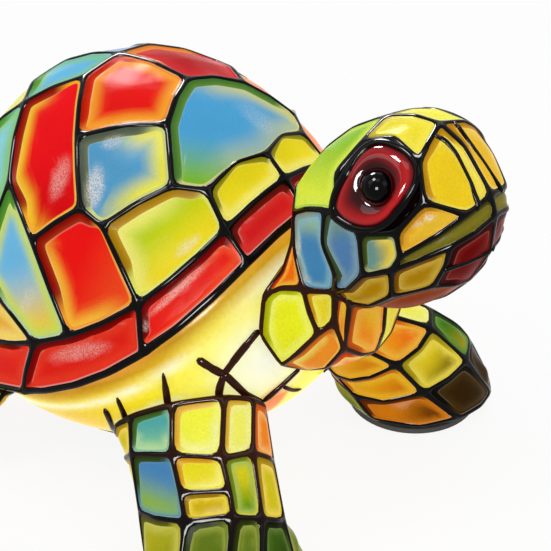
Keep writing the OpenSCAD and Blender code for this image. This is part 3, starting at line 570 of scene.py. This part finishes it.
def paint(piece, colours):
    """Stores a colour for each point of a piece, with the painted highlight as its fourth value."""
    values = np.zeros((len(colours), 4))
    values[:, :colours.shape[1]] = colours
    piece.data.attributes.new("tint", "FLOAT_COLOR", "POINT").data.foreach_set("color", values.ravel())


def coordinates(mesh):
    """Places of a mesh's points, one row each."""
    values = np.empty(len(mesh.vertices) * 3)
    mesh.vertices.foreach_get("co", values)
    return values.reshape(-1, 3)


def stands_for(piece, node):
    """Lets a piece stand in for a node of the lamp's fixed body."""
    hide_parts(node)
    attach(piece, "base")


# Materials
def shader(name):
    """A new material, its nodes and its main shader."""
    material = bpy.data.materials.new(name)
    material.use_nodes = True
    return material, material.node_tree, material.node_tree.nodes["Principled BSDF"]


def add(tree, kind, inputs=None, **settings):
    """A new shader node with its settings, and its inputs set or linked."""
    node = tree.nodes.new(kind)
    for key, value in settings.items():
        setattr(node, key, value)
    for key, value in (inputs or {}).items():
        if isinstance(value, bpy.types.NodeSocket):
            tree.links.new(value, node.inputs[key])
        else:
            node.inputs[key].default_value = value
    return node


def noise(tree, scale, detail, rough=0.5):
    """A grain fixed to the object, from about 0 to 1."""
    place = add(tree, "ShaderNodeTexCoord").outputs["Object"]
    inputs = {"Vector": place, "Scale": scale, "Detail": detail, "Roughness": rough}
    return add(tree, "ShaderNodeTexNoise", inputs).outputs["Fac"]


def ranged(tree, socket, low, high, start=0.0, end=1.0):
    """A value's range from start to end, stretched to run from low to high."""
    inputs = {"Value": socket, "From Min": start, "From Max": end, "To Min": low, "To Max": high}
    return add(tree, "ShaderNodeMapRange", inputs).outputs["Result"]


def mixed(tree, share, first, second, way="MIX"):
    """Two colours mixed, or multiplied."""
    mix = add(tree, "ShaderNodeMix", {0: share, 6: first, 7: second}, data_type="RGBA", blend_type=way)
    return mix.outputs[2]


def bumped(tree, socket, strength, distance, under=None):
    """A surface raised by a grain, on top of another such surface if there is one."""
    inputs = {"Height": socket, "Strength": strength, "Distance": distance}
    if under is not None:
        inputs["Normal"] = under
    return add(tree, "ShaderNodeBump", inputs).outputs[0]


# Painted highlight: its colour, and how its strength follows the grain
GLARE_WHITE = (0.9, 0.82, 0.72, 1)
SPECKLE = {"low": 0.15, "high": 1.0, "start": 0.36, "end": 0.68}
# How far the grains move the colour and the glow
BASE_LOW = 0.8
BASE_HIGH = 1.2
SLOW_GLOW = (0.9, 1.12)
SAND_GLOW = (0.88, 1.1)
# Heights of the grains, in metres
SLOW_HEIGHT = 0.0012
SAND_HEIGHT = 0.0003
MOULD_HEIGHT = 0.0004
# How far a moulded surface's grain moves its colour and its roughness
MOULD_COLOUR = 0.15
MOULD_ROUGH = 0.25


def glowing(name, glow, share, coarse, fine, rough, bumps, specular):
    """A surface in its painted colours, part lit from inside and part from outside.

    coarse and fine are the scales of two grains: the first moves the glow, the second the colour and polish.
    """
    material, tree, bsdf = shader(name)
    slow = noise(tree, coarse, detail=1)
    sand = noise(tree, fine, detail=3, rough=0.6)
    painted = add(tree, "ShaderNodeAttribute", attribute_name="tint").outputs
    speckle = ranged(tree, sand, **SPECKLE)
    glare = add(tree, "ShaderNodeMath", {0: painted["Alpha"], 1: speckle}, operation="MULTIPLY")
    colour = mixed(tree, glare.outputs[0], painted["Color"], GLARE_WHITE)
    base = mixed(tree, 1.0, colour, ranged(tree, sand, BASE_LOW * share, BASE_HIGH * share), "MULTIPLY")
    light = mixed(tree, 1.0, colour, ranged(tree, slow, *SLOW_GLOW), "MULTIPLY")
    light = mixed(tree, 1.0, light, ranged(tree, sand, *SAND_GLOW), "MULTIPLY")
    waves = bumped(tree, slow, bumps[0], SLOW_HEIGHT)
    tree.links.new(base, bsdf.inputs["Base Color"])
    tree.links.new(light, bsdf.inputs["Emission Color"])
    tree.links.new(ranged(tree, sand, *rough), bsdf.inputs["Roughness"])
    tree.links.new(bumped(tree, sand, bumps[1], SAND_HEIGHT, waves), bsdf.inputs["Normal"])
    bsdf.inputs["Emission Strength"].default_value = glow
    bsdf.inputs["Specular IOR Level"].default_value = specular
    return material


def moulded(name, colour, rough, scale, metal=0.0, bump=0.08, glow=0.0, specular=0.5):
    """Moulded or machined surfaces: a grain moves the colour, the roughness and the surface a little."""
    material, tree, bsdf = shader(name)
    grain = noise(tree, scale, detail=3)
    tone = linear(*colour)
    ramp = add(tree, "ShaderNodeValToRGB", {"Fac": grain})
    ramp.color_ramp.elements[0].color = (*(tone * (1 - MOULD_COLOUR)), 1)
    ramp.color_ramp.elements[1].color = (*np.minimum(tone * (1 + MOULD_COLOUR), 1), 1)
    dull = min(rough * (1 + MOULD_ROUGH), 1)
    tree.links.new(ramp.outputs["Color"], bsdf.inputs["Base Color"])
    tree.links.new(ranged(tree, grain, rough * (1 - MOULD_ROUGH), dull), bsdf.inputs["Roughness"])
    tree.links.new(bumped(tree, grain, bump, MOULD_HEIGHT), bsdf.inputs["Normal"])
    bsdf.inputs["Metallic"].default_value = metal
    bsdf.inputs["Specular IOR Level"].default_value = specular
    if glow:
        tree.links.new(ramp.outputs["Color"], bsdf.inputs["Emission Color"])
        bsdf.inputs["Emission Strength"].default_value = glow
    return material


# Glass pieces
shell_glass = glowing("glass_shell", glow=0.56, share=0.4, coarse=90, fine=2400,
                      rough=(0.08, 0.24), bumps=(0.25, 0.15), specular=0.01)
satin_glass = glowing("glass_satin", glow=0.5, share=0.48, coarse=120, fine=1600,
                      rough=(0.1, 0.28), bumps=(0.2, 0.1), specular=0.012)
for node in PANES:
    large = node.startswith("shell")
    points, faces, tints = [], [], []
    for top, rings, bottom in pane_rings(node):
        glass, turn = look_of(node, rings[-2].mean(0))
        p, f, c = pane_mesh(top, rings, bottom, glass, turn, large)
        shift = sum(len(x) for x in points)
        points.append(p)
        faces += [tuple(i + shift for i in face) for face in f]
        tints.append(c)
    piece = new_piece(node.replace("panes", "glass"), np.concatenate(points), faces)
    paint(piece, np.concatenate(tints))
    piece.data.materials.append(shell_glass if large else satin_glass)
    stands_for(piece, node)


# Smooth forms of the body and the came: largest bend between two triangles that are joined, and largest skew
QUAD_BEND = math.radians(60)
QUAD_SKEW = math.radians(120)


def make_quads(bm):
    """Joins pairs of triangles that bend little against each other."""
    bmesh.ops.join_triangles(bm, faces=bm.faces, angle_face_threshold=QUAD_BEND,
                             angle_shape_threshold=QUAD_SKEW)


def softened(bm, name, crease_angle, levels, push=0.0):
    """A smooth piece from a welded CAD mesh: quads, creases kept above an angle, subdivision applied."""
    make_quads(bm)
    if crease_angle:
        crease = bm.edges.layers.float.new("crease_edge")
        for edge in bm.edges:
            if len(edge.link_faces) == 2 and edge.calc_face_angle() > math.radians(crease_angle):
                edge[crease] = 1.0
    bm.normal_update()
    for v in bm.verts:
        v.co += push * v.normal
    mesh = bpy.data.meshes.new(name)
    bm.to_mesh(mesh)
    bm.free()
    piece = bpy.data.objects.new(name, mesh)
    bpy.context.scene.collection.objects.link(piece)
    modifier = piece.modifiers.new("smooth", "SUBSURF")
    modifier.levels = levels
    shape = bpy.data.meshes.new_from_object(piece.evaluated_get(bpy.context.evaluated_depsgraph_get()))
    piece.modifiers.clear()
    piece.data = shape
    shape.polygons.foreach_set("use_smooth", [True] * len(shape.polygons))
    return piece


# Body: painted light from the lamp inside, brightest at a point of the chest, and amber under the rim
HOT_PIXEL = (266, 364)
# Painted glow colours by the distance in mm from that point, and colours by the distance from the rim: a pale
# line at it, a band of painted shade under it and a painted highlight streak below
BODY_STEPS = [(0, (255, 255, 238)), (11, (255, 254, 196)), (20, (255, 246, 96)), (34, (250, 232, 44)),
              (60, (244, 206, 30)), (100, (226, 168, 30)), (150, (196, 130, 26))]
RIM_STEPS = [(0, (250, 176, 90)), (1.0, (246, 166, 66)), (1.8, (196, 136, 8)), (4.5, (222, 174, 24)),
             (6.5, (250, 230, 90)), (8, (255, 255, 222)), (9.5, (255, 248, 150)), (12, (250, 236, 70))]
# The rim's colours are full up to one distance from it and gone at another
RIM_FULL = 7.2
RIM_REACH = 12
# They are weaker by a share at the brightest point, and less so up to a distance from it
HOT_SHARE = 0.5
HOT_REACH = 40
# Angle in degrees above which the body's edges stay sharp, and levels of its smoothing
BODY_CREASE = 40
BODY_LEVELS = 2
# Spots on the chest, an orange patch and two pale streaks of painted highlight: pixel place, half sizes along
# and across, lean in degrees, colour
BODY_SPOTS = [
    (284, 401, 40, 16, 32, (250, 132, 44)),
    (304, 378, 26, 7, 26, (255, 250, 176)),
    (150, 410, 40, 5, 22, (255, 250, 170)),
]
# How far from the lamp's middle the spots stay, in metres
SPOT_FROM = 0.012

body_form = welded("body_shell")
body_tree = BVHTree.FromBMesh(body_form)
hot_spot = np.array(body_tree.ray_cast(VIEW_FROM, pixel_ray(*HOT_PIXEL))[0])


def glow_distance(points):
    """Distance from the body's brightest point, in mm."""
    return np.linalg.norm(points - hot_spot, axis=1) * MM


body = softened(body_form, "amber_body", BODY_CREASE, BODY_LEVELS)
places = coordinates(body.data)
rim_tree = BVHTree.FromBMesh(welded("shell_came"))
below_rim = np.array([rim_tree.find_nearest(Vector(p))[3] * MM for p in places])
away = glow_distance(places)
under_rim = 1 - smooth((below_rim - RIM_FULL) / (RIM_REACH - RIM_FULL))
under_rim = (under_rim * (1 - HOT_SHARE * smooth(1 - away / HOT_REACH)))[:, None]
body_light_paint = stepped(away, BODY_STEPS) * (1 - under_rim) + stepped(below_rim, RIM_STEPS) * under_rim
own_side = places * np.where(places[:, 1:2] > 0, MIRROR, np.ones(3))
for *oval, colour in BODY_SPOTS:
    inside = (in_oval(pixels(own_side), *oval) * (own_side[:, 1] < -SPOT_FROM))[:, None]
    body_light_paint = body_light_paint * (1 - inside) + linear(*colour) * inside
paint(body, body_light_paint)
body.data.materials.append(glowing("amber_body", glow=0.74, share=0.36, coarse=60, fine=700,
                                   rough=(0.14, 0.3), bumps=(0.06, 0.04), specular=0.1))
stands_for(body, "body_shell")

# Came: black, but brown near the chest as painted glow from the lamp inside, fully up to a share of a
# distance in mm, and not at all past its end
came_look = glowing("came_black", glow=0.2, share=1.0, coarse=160, fine=500,
                    rough=(0.06, 0.14), bumps=(0.06, 0.03), specular=0.07)
BLACK = linear(7, 5, 5)
BROWN = linear(50, 21, 8)
WARM_TO = 58
WARM_FULL = 0.35
# How far the came swells before it is smoothed, and the length in metres from which its edges get cuts
SHELL_PUSH = 0.00008
LIMB_PUSH = 0.00006
LONG_EDGE = 0.0045
LONG_CUTS = 2


def darkened(points, far):
    """Came colours, brown near the chest as painted glow and black from a distance in mm on."""
    warm = (1 - smooth((glow_distance(points) - WARM_FULL * far) / ((1 - WARM_FULL) * far)))[:, None]
    return BLACK * (1 - warm) + BROWN * warm


for node in ("shell_came", "head_came", *LEG_CAMES):
    on_shell = node == "shell_came"
    bm = welded(node)
    make_quads(bm)
    long_edges = [e for e in bm.edges if e.calc_length() > LONG_EDGE]
    bmesh.ops.subdivide_edges(bm, edges=long_edges, cuts=LONG_CUTS, use_grid_fill=True)
    push = SHELL_PUSH if on_shell else LIMB_PUSH
    piece = softened(bm, node.replace("came", "lead"), crease_angle=0, levels=1, push=push)
    places = coordinates(piece.data)
    paint(piece, np.tile(BLACK, (len(places), 1)) if on_shell else darkened(places, WARM_TO))
    piece.data.materials.append(came_look)
    stands_for(piece, node)

# Lead lines on the chest: pixels of the photograph with the width in mm at each point
CHEST_LINES = [
    [(259, 330, 2.6), (240, 353, 2.6), (224, 374, 2.6)],
    [(300, 368, 1.8), (280, 387, 2.2), (263, 402, 2.6)],
    [(224, 374, 2.6), (246, 395, 2.6), (262, 403, 2.6)],
    [(224, 375, 2.6), (211, 368, 2.8), (197, 359, 2.6)],
    [(224, 374, 2.4), (219, 390, 2.6), (219, 406, 2.6)],
    [(163, 373, 0.9), (166, 391, 2.3), (168, 406, 2.5)],
    [(247, 395, 2.6), (247, 406, 2.6)],
    [(282, 386, 1.6), (293, 391, 1.4), (301, 389, 1.2)],
    [(105, 409, 2.4), (112, 426, 1.8), (119, 445, 1.6)],
    [(117, 398, 1.3), (125, 416, 2.3), (128, 434, 2.3)],
]
# Lead lines on the snout and the jaw, in the same way
FACE_LINES = [
    [(454, 121, 1.5), (480, 158, 1.8), (503, 192, 1.8)],
    [(442, 271, 1.6), (468, 262, 1.8), (497, 248, 1.6)],
]
# Step along a line in pixels, height and depth in metres, sides, size at its ends, times it is evened out
LINE_STEP = 3.0
LINE_HEIGHT = 0.0007
LINE_SINK = 0.0005
LINE_SIDES = 8
LINE_END = 0.45
LINE_EVENING = 2
# The chest's lines keep the painted brown glow further out than the came
CHEST_WARM = 1.4


def lead_line(line, side, tree):
    """Points and faces of one half-round line laid on a surface, or on its other side."""
    marks = np.array(line, float)
    stretches = np.linalg.norm(np.diff(marks[:, :2], axis=0), axis=1)
    lengths = np.concatenate([[0], np.cumsum(stretches)])
    steps = np.linspace(0, lengths[-1], max(3, int(lengths[-1] / LINE_STEP)))
    track = []
    for x, y, width in np.stack([np.interp(steps, lengths, marks[:, k]) for k in range(3)], 1):
        spot = tree.ray_cast(VIEW_FROM, pixel_ray(x, y))[0]
        if spot is not None:
            spot, normal = tree.find_nearest(Vector(np.array(spot) * side))[:2]
            track.append((np.array(spot), np.array(normal), width / 2 / MM))
    places = np.array([t[0] for t in track])
    for _ in range(LINE_EVENING):
        places[1:-1] = places[1:-1] * 0.5 + (places[:-2] + places[2:]) / 4
    ahead = unit(np.gradient(places, axis=0))
    points, faces = [], []
    last = len(track) - 1
    for k, (_, normal, half) in enumerate(track):
        across = unit(np.cross(ahead[k], normal))
        end = LINE_END if k in (0, last) else 1.0
        for turn in np.linspace(0, 2 * math.pi, LINE_SIDES, endpoint=False):
            rise = math.sin(turn)
            lift = rise * (LINE_HEIGHT if rise > 0 else LINE_SINK)
            points.append(places[k] + end * (half * math.cos(turn) * across + lift * normal))
    for start in range(0, last * LINE_SIDES, LINE_SIDES):
        after = start + LINE_SIDES
        for i in range(LINE_SIDES):
            j = (i + 1) % LINE_SIDES
            faces.append((start + i, after + i, after + j, start + j))
    faces.append(tuple(range(LINE_SIDES)))
    faces.append(tuple(range((last + 1) * LINE_SIDES - 1, last * LINE_SIDES - 1, -1)))
    return points, faces


def lead_lines(name, lines, tree, warm):
    """A piece of lines on both sides of the lamp."""
    points, faces = [], []
    for side in (np.ones(3), MIRROR):
        for line in lines:
            p, f = lead_line(line, side, tree)
            faces += [tuple(i + len(points) for i in face) for face in f]
            points += p
    piece = new_piece(name, points, faces)
    paint(piece, darkened(np.array(points), warm))
    piece.data.materials.append(came_look)
    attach(piece, "base")


lead_lines("chest_lead", CHEST_LINES, body_tree, WARM_TO * CHEST_WARM)
face_form = bmesh.new()
for node in [n for n in PANES if n.startswith(("head", "neck"))] + ["head_came"]:
    face_form.from_mesh(nodes[node].data)
face_tree = BVHTree.FromBMesh(face_form)
face_form.free()
lead_lines("face_lead", FACE_LINES, face_tree, WARM_TO)

# Eyes: red glass round the pupil in a ring of came, on a smooth surface laid through the head's came.
# Outline of the red glass in pixels of the photograph
EYE_OUTLINE = [(374, 144), (393, 148), (405, 155), (413, 165), (414, 175), (411, 185), (403, 197),
               (393, 210), (385, 220), (369, 227), (356, 226), (343, 220), (332, 211), (335, 202),
               (341, 186), (348, 175), (355, 161), (363, 151)]
# Rows of the glass: share of the way from the pupil to the outline, height in mm, colour; a painted highlight
# line at the pupil, and painted shade that darkens the red the lower the glass lies
EYE_ROWS = [
    (0.00, -2.0, (120, 60, 60)),
    (0.05, -1.5, (70, 16, 20)),
    (0.10, -1.2, (44, 2, 6)),
    (0.28, -0.5, (74, 2, 6)),
    (0.45, 0.0, (130, 4, 10)),
    (0.62, 0.3, (182, 14, 18)),
    (0.78, 0.2, (190, 24, 28)),
    (0.90, -0.2, (126, 6, 14)),
    (1.00, -0.7, (50, 2, 8)),
    (1.55, -2.8, (10, 3, 4)),
    (1.55, -3.4, (10, 3, 4)),
    (0.00, -3.8, (12, 2, 4)),
]
# Rows of the came ring: distance from the outline and height, in mm
EYE_RING_ROWS = [(-0.4, -1.0), (0.0, -0.1), (0.5, 0.3), (1.0, 0.35), (1.5, 0.1),
                 (1.9, -1.0), (1.9, -2.0), (-0.4, -2.0)]
# How much wider the ring is at the back of the eye
EYE_RING_BACK = 0.6
# Points round the eye, times that its outline is evened out, and radius of the hole for the pupil in metres
EYE_TURNS = 96
EYE_EVENING = 4
EYE_HOLE = 0.0045
# The came that the surface is laid through: least share of facing out, radius and lowest height in metres
EYE_FACING = 0.35
EYE_AROUND = 0.018
EYE_LOWEST = -0.006
# Steps in which a pixel's place on that surface is found
EYE_STEPS = 8
# Tone of the red, with painted light and shade round the eye: its middle, how far it varies round the eye,
# and where it is brightest
EYE_TONE = 0.85
EYE_VARIES = 0.25
EYE_LIGHT = math.radians(-40)


class EyeFrame:
    """The right eye's own frame: middle, directions, and the head's smooth surface round it."""

    def __init__(self):
        ring = coordinates(nodes["eye_rings"].data)
        ring = ring[ring[:, 1] < 0]
        self.middle = (ring.min(0) + ring.max(0)) / 2
        axis = np.linalg.svd(ring - ring.mean(0), full_matrices=False)[2][2]
        axis = axis * np.sign(axis @ (self.middle - np.array(HEAD_MIDDLE)))
        across = fixed(1, 0)
        across = unit(across - (across @ axis) * axis)
        self.turned = np.stack([across, np.cross(axis, across), axis])
        bm = welded("head_came")
        bm.normal_update()
        crown = np.array([v.co for v in bm.verts if v.normal.dot(Vector(axis)) > EYE_FACING])
        bm.free()
        crown = (crown - self.middle) @ self.turned.T
        around = np.hypot(crown[:, 0], crown[:, 1]) < EYE_AROUND
        crown = crown[around & (crown[:, 2] > EYE_LOWEST)]
        self.bend = np.linalg.lstsq(self.terms(crown[:, 0], crown[:, 1]), crown[:, 2], rcond=None)[0]

    def terms(self, u, v):
        """Terms of a surface of the second degree."""
        return np.stack([np.ones_like(u), u, v, u * u, u * v, v * v], -1)

    def level(self, u, v):
        """Height of the surface."""
        return self.terms(u, v) @ self.bend

    def seen(self, x, y):
        """Place on the surface under a pixel of the photograph."""
        start = self.turned @ (np.array(VIEW_FROM) - self.middle)
        ray = self.turned @ np.array(pixel_ray(x, y))
        height = 0.0
        for _ in range(EYE_STEPS):
            u, v = (start + ray * (height - start[2]) / ray[2])[:2]
            height = self.level(u, v)
        return u, v

    def placed(self, radius, angles, height):
        """Points at a radius and a height above the surface."""
        u, v = radius * np.cos(angles), radius * np.sin(angles)
        return self.middle + np.stack([u, v, self.level(u, v) + height], 1) @ self.turned


def ring_faces(rows):
    """Faces of closed rows that follow one another and close on the first."""
    faces = []
    for r in range(rows):
        for i in range(EYE_TURNS):
            j = (i + 1) % EYE_TURNS
            up = (r + 1) % rows
            faces.append((r * EYE_TURNS + i, up * EYE_TURNS + i, up * EYE_TURNS + j, r * EYE_TURNS + j))
    return faces


def on_both_sides(name, points, faces):
    """A piece made of a right half and its mirrored twin."""
    twin = [tuple(i + len(points) for i in face[::-1]) for face in faces]
    return new_piece(name, np.concatenate([points, points * MIRROR]), faces + twin)


eye = EyeFrame()
outline = np.array([eye.seen(x, y) for x, y in EYE_OUTLINE])
bearings = np.arctan2(outline[:, 1], outline[:, 0])
order = np.argsort(bearings)
angles = np.linspace(-math.pi, math.pi, EYE_TURNS, endpoint=False)
reach = np.interp(angles, bearings[order], np.hypot(*outline[order].T), period=2 * math.pi)
reach = evened(reach, EYE_EVENING)
lit = (EYE_TONE + EYE_VARIES * np.cos(angles - EYE_LIGHT))[:, None]
eye_points = np.concatenate([eye.placed(EYE_HOLE + (reach - EYE_HOLE) * share, angles, height / MM)
                             for share, height, _ in EYE_ROWS])
eye_tints = np.concatenate([linear(*colour) * lit for _, _, colour in EYE_ROWS])
eyes = on_both_sides("eye_glass", eye_points, ring_faces(len(EYE_ROWS)))
paint(eyes, np.concatenate([eye_tints, eye_tints]))
eyes.data.materials.append(glowing("eye_red", glow=0.5, share=0.5, coarse=120, fine=500,
                                   rough=(0.03, 0.08), bumps=(0.12, 0.03), specular=0.16))
stands_for(eyes, "eye_rings")
widened = 1 + EYE_RING_BACK * np.maximum(0, -np.cos(angles))
lead_points = np.concatenate([eye.placed(reach + away * widened / MM, angles, height / MM)
                              for away, height in EYE_RING_ROWS])
eye_lead = on_both_sides("eye_lead", lead_points, ring_faces(len(EYE_RING_ROWS)))
paint(eye_lead, np.tile(BLACK, (2 * len(lead_points), 1)))
eye_lead.data.materials.append(came_look)
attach(eye_lead, "base")

# CAD nodes that keep their shape: each look has a display colour, a roughness and a grain scale; the amber
# tail glows with painted light from the lamp inside
PLAIN = {
    "pupils": moulded("black_bead", (4, 4, 5), 0.04, 300, bump=0.02, specular=0.06),
    "tail": moulded("amber_tail", (226, 168, 50), 0.3, 300, glow=0.4),
    "foot_pads": moulded("pad_rubber", (48, 46, 44), 0.75, 900),
    "base_plate": moulded("base_plastic", (70, 66, 62), 0.5, 1400),
    "battery_door": moulded("door_plastic", (64, 60, 57), 0.5, 1400),
    "base_screws": moulded("screw_steel", (190, 190, 188), 0.3, 1800, 1.0),
    "door_pin": moulded("pin_steel", (186, 186, 186), 0.3, 1800, 1.0),
    "contact_leaves": moulded("leaf_steel", (196, 192, 180), 0.3, 1800, 1.0),
    "battery_tray": moulded("tray_plastic", (90, 88, 84), 0.5, 1400),
    "battery_cells": moulded("cell_jacket", (40, 120, 84), 0.35, 900),
    "led_board": moulded("board_white", (232, 232, 226), 0.45, 900),
    "board_posts": moulded("post_plastic", (120, 118, 112), 0.5, 1200),
    "led_chips": moulded("led_phosphor", (250, 236, 170), 0.4, 900, glow=1.0),
    "diffuser": moulded("opal", (246, 240, 224), 0.45, 500, glow=0.4),
    "switch_body": moulded("switch_housing", (96, 94, 90), 0.5, 1200),
    "switch_slider": moulded("switch_black", (22, 22, 22), 0.45, 1200),
}
for node, material in PLAIN.items():
    data = nodes[node].data
    data.materials.clear()
    data.materials.append(material)

# Studio: half the floor's width and its height in metres, its grey, how far it shows as pure white, and the
# strength of the light from all round
FLOOR_HALF = 3
FLOOR_Z = -0.0003
FLOOR_GREY = (0.9, 0.9, 0.9, 1)
FLOOR_ROUGH = 0.9
FLOOR_SHOWN = 0.9
WORLD_LIGHT = 0.42
PURE_WHITE = (1, 1, 1, 1)
# Lamps: name, place and width in metres, power in watts, and whether they light reflections alone
LAMPS = [
    ("left", (-0.6, -0.8, 0.9), 0.6, 4.2, False),
    ("right", (1.0, 0.1, 0.9), 0.6, 3.2, False),
    ("back", (-0.3, 0.9, 1.0), 0.6, 3.2, False),
    ("overhead", (0.2, -0.3, 1.3), 0.5, 2.8, False),
    ("gloss_top", (-0.25, -0.35, 1.1), 0.3, 30, True),
    ("gloss_back", (-0.75, 0.45, 0.8), 0.3, 30, True),
    ("gloss_front", (0.5, -0.87, 0.45), 0.3, 30, True),
]
LAMPS_AIM = Vector((0, 0, 0.08))


def background_share(tree):
    """1 for rays that should see the white background, 0 for those that only carry light."""
    rays = add(tree, "ShaderNodeLightPath").outputs
    share = rays["Is Camera Ray"]
    for kind in ("Is Glossy Ray", "Is Transmission Ray"):
        share = add(tree, "ShaderNodeMath", {0: share, 1: rays[kind]}, operation="MAXIMUM").outputs[0]
    return share


corners = [(x * FLOOR_HALF, y * FLOOR_HALF, FLOOR_Z) for x, y in ((-1, -1), (1, -1), (1, 1), (-1, 1))]
floor = new_piece("floor", corners, [(0, 1, 2, 3)])
material, tree, bsdf = shader("floor_white")
bsdf.inputs["Base Color"].default_value = FLOOR_GREY
bsdf.inputs["Roughness"].default_value = FLOOR_ROUGH
bsdf.inputs["Specular IOR Level"].default_value = 0.0
white = add(tree, "ShaderNodeEmission", {"Color": PURE_WHITE, "Strength": 1.0})
share = ranged(tree, background_share(tree), 0.0, FLOOR_SHOWN)
both = add(tree, "ShaderNodeMixShader", {0: share, 1: bsdf.outputs[0], 2: white.outputs[0]})
tree.links.new(both.outputs[0], tree.nodes["Material Output"].inputs["Surface"])
floor.data.materials.append(material)

world = bpy.data.worlds.new("studio")
bpy.context.scene.world = world
world.use_nodes = True
tree = world.node_tree
sky = tree.nodes["Background"].inputs
sky["Color"].default_value = PURE_WHITE
tree.links.new(ranged(tree, background_share(tree), WORLD_LIGHT, 1.0), sky["Strength"])

for name, place, width, power, only_gloss in LAMPS:
    light = bpy.data.lights.new(name, "AREA")
    light.size = width
    light.energy = power
    lamp = bpy.data.objects.new(name, light)
    lamp.location = place
    lamp.rotation_euler = (LAMPS_AIM - Vector(place)).to_track_quat("-Z", "Y").to_euler()
    lamp.visible_diffuse = not only_gloss
    bpy.context.scene.collection.objects.link(lamp)

camera = bpy.data.objects.new("camera", bpy.data.cameras.new("camera"))
camera.data.lens = VIEW_LENS
camera.data.sensor_width = VIEW_SENSOR
camera.matrix_world = Matrix.Translation(VIEW_FROM) @ Matrix((RIGHT, UP, BACK)).transposed().to_4x4()
bpy.context.scene.collection.objects.link(camera)
bpy.context.scene.camera = camera
bpy.context.scene.view_settings.view_transform = "Standard"
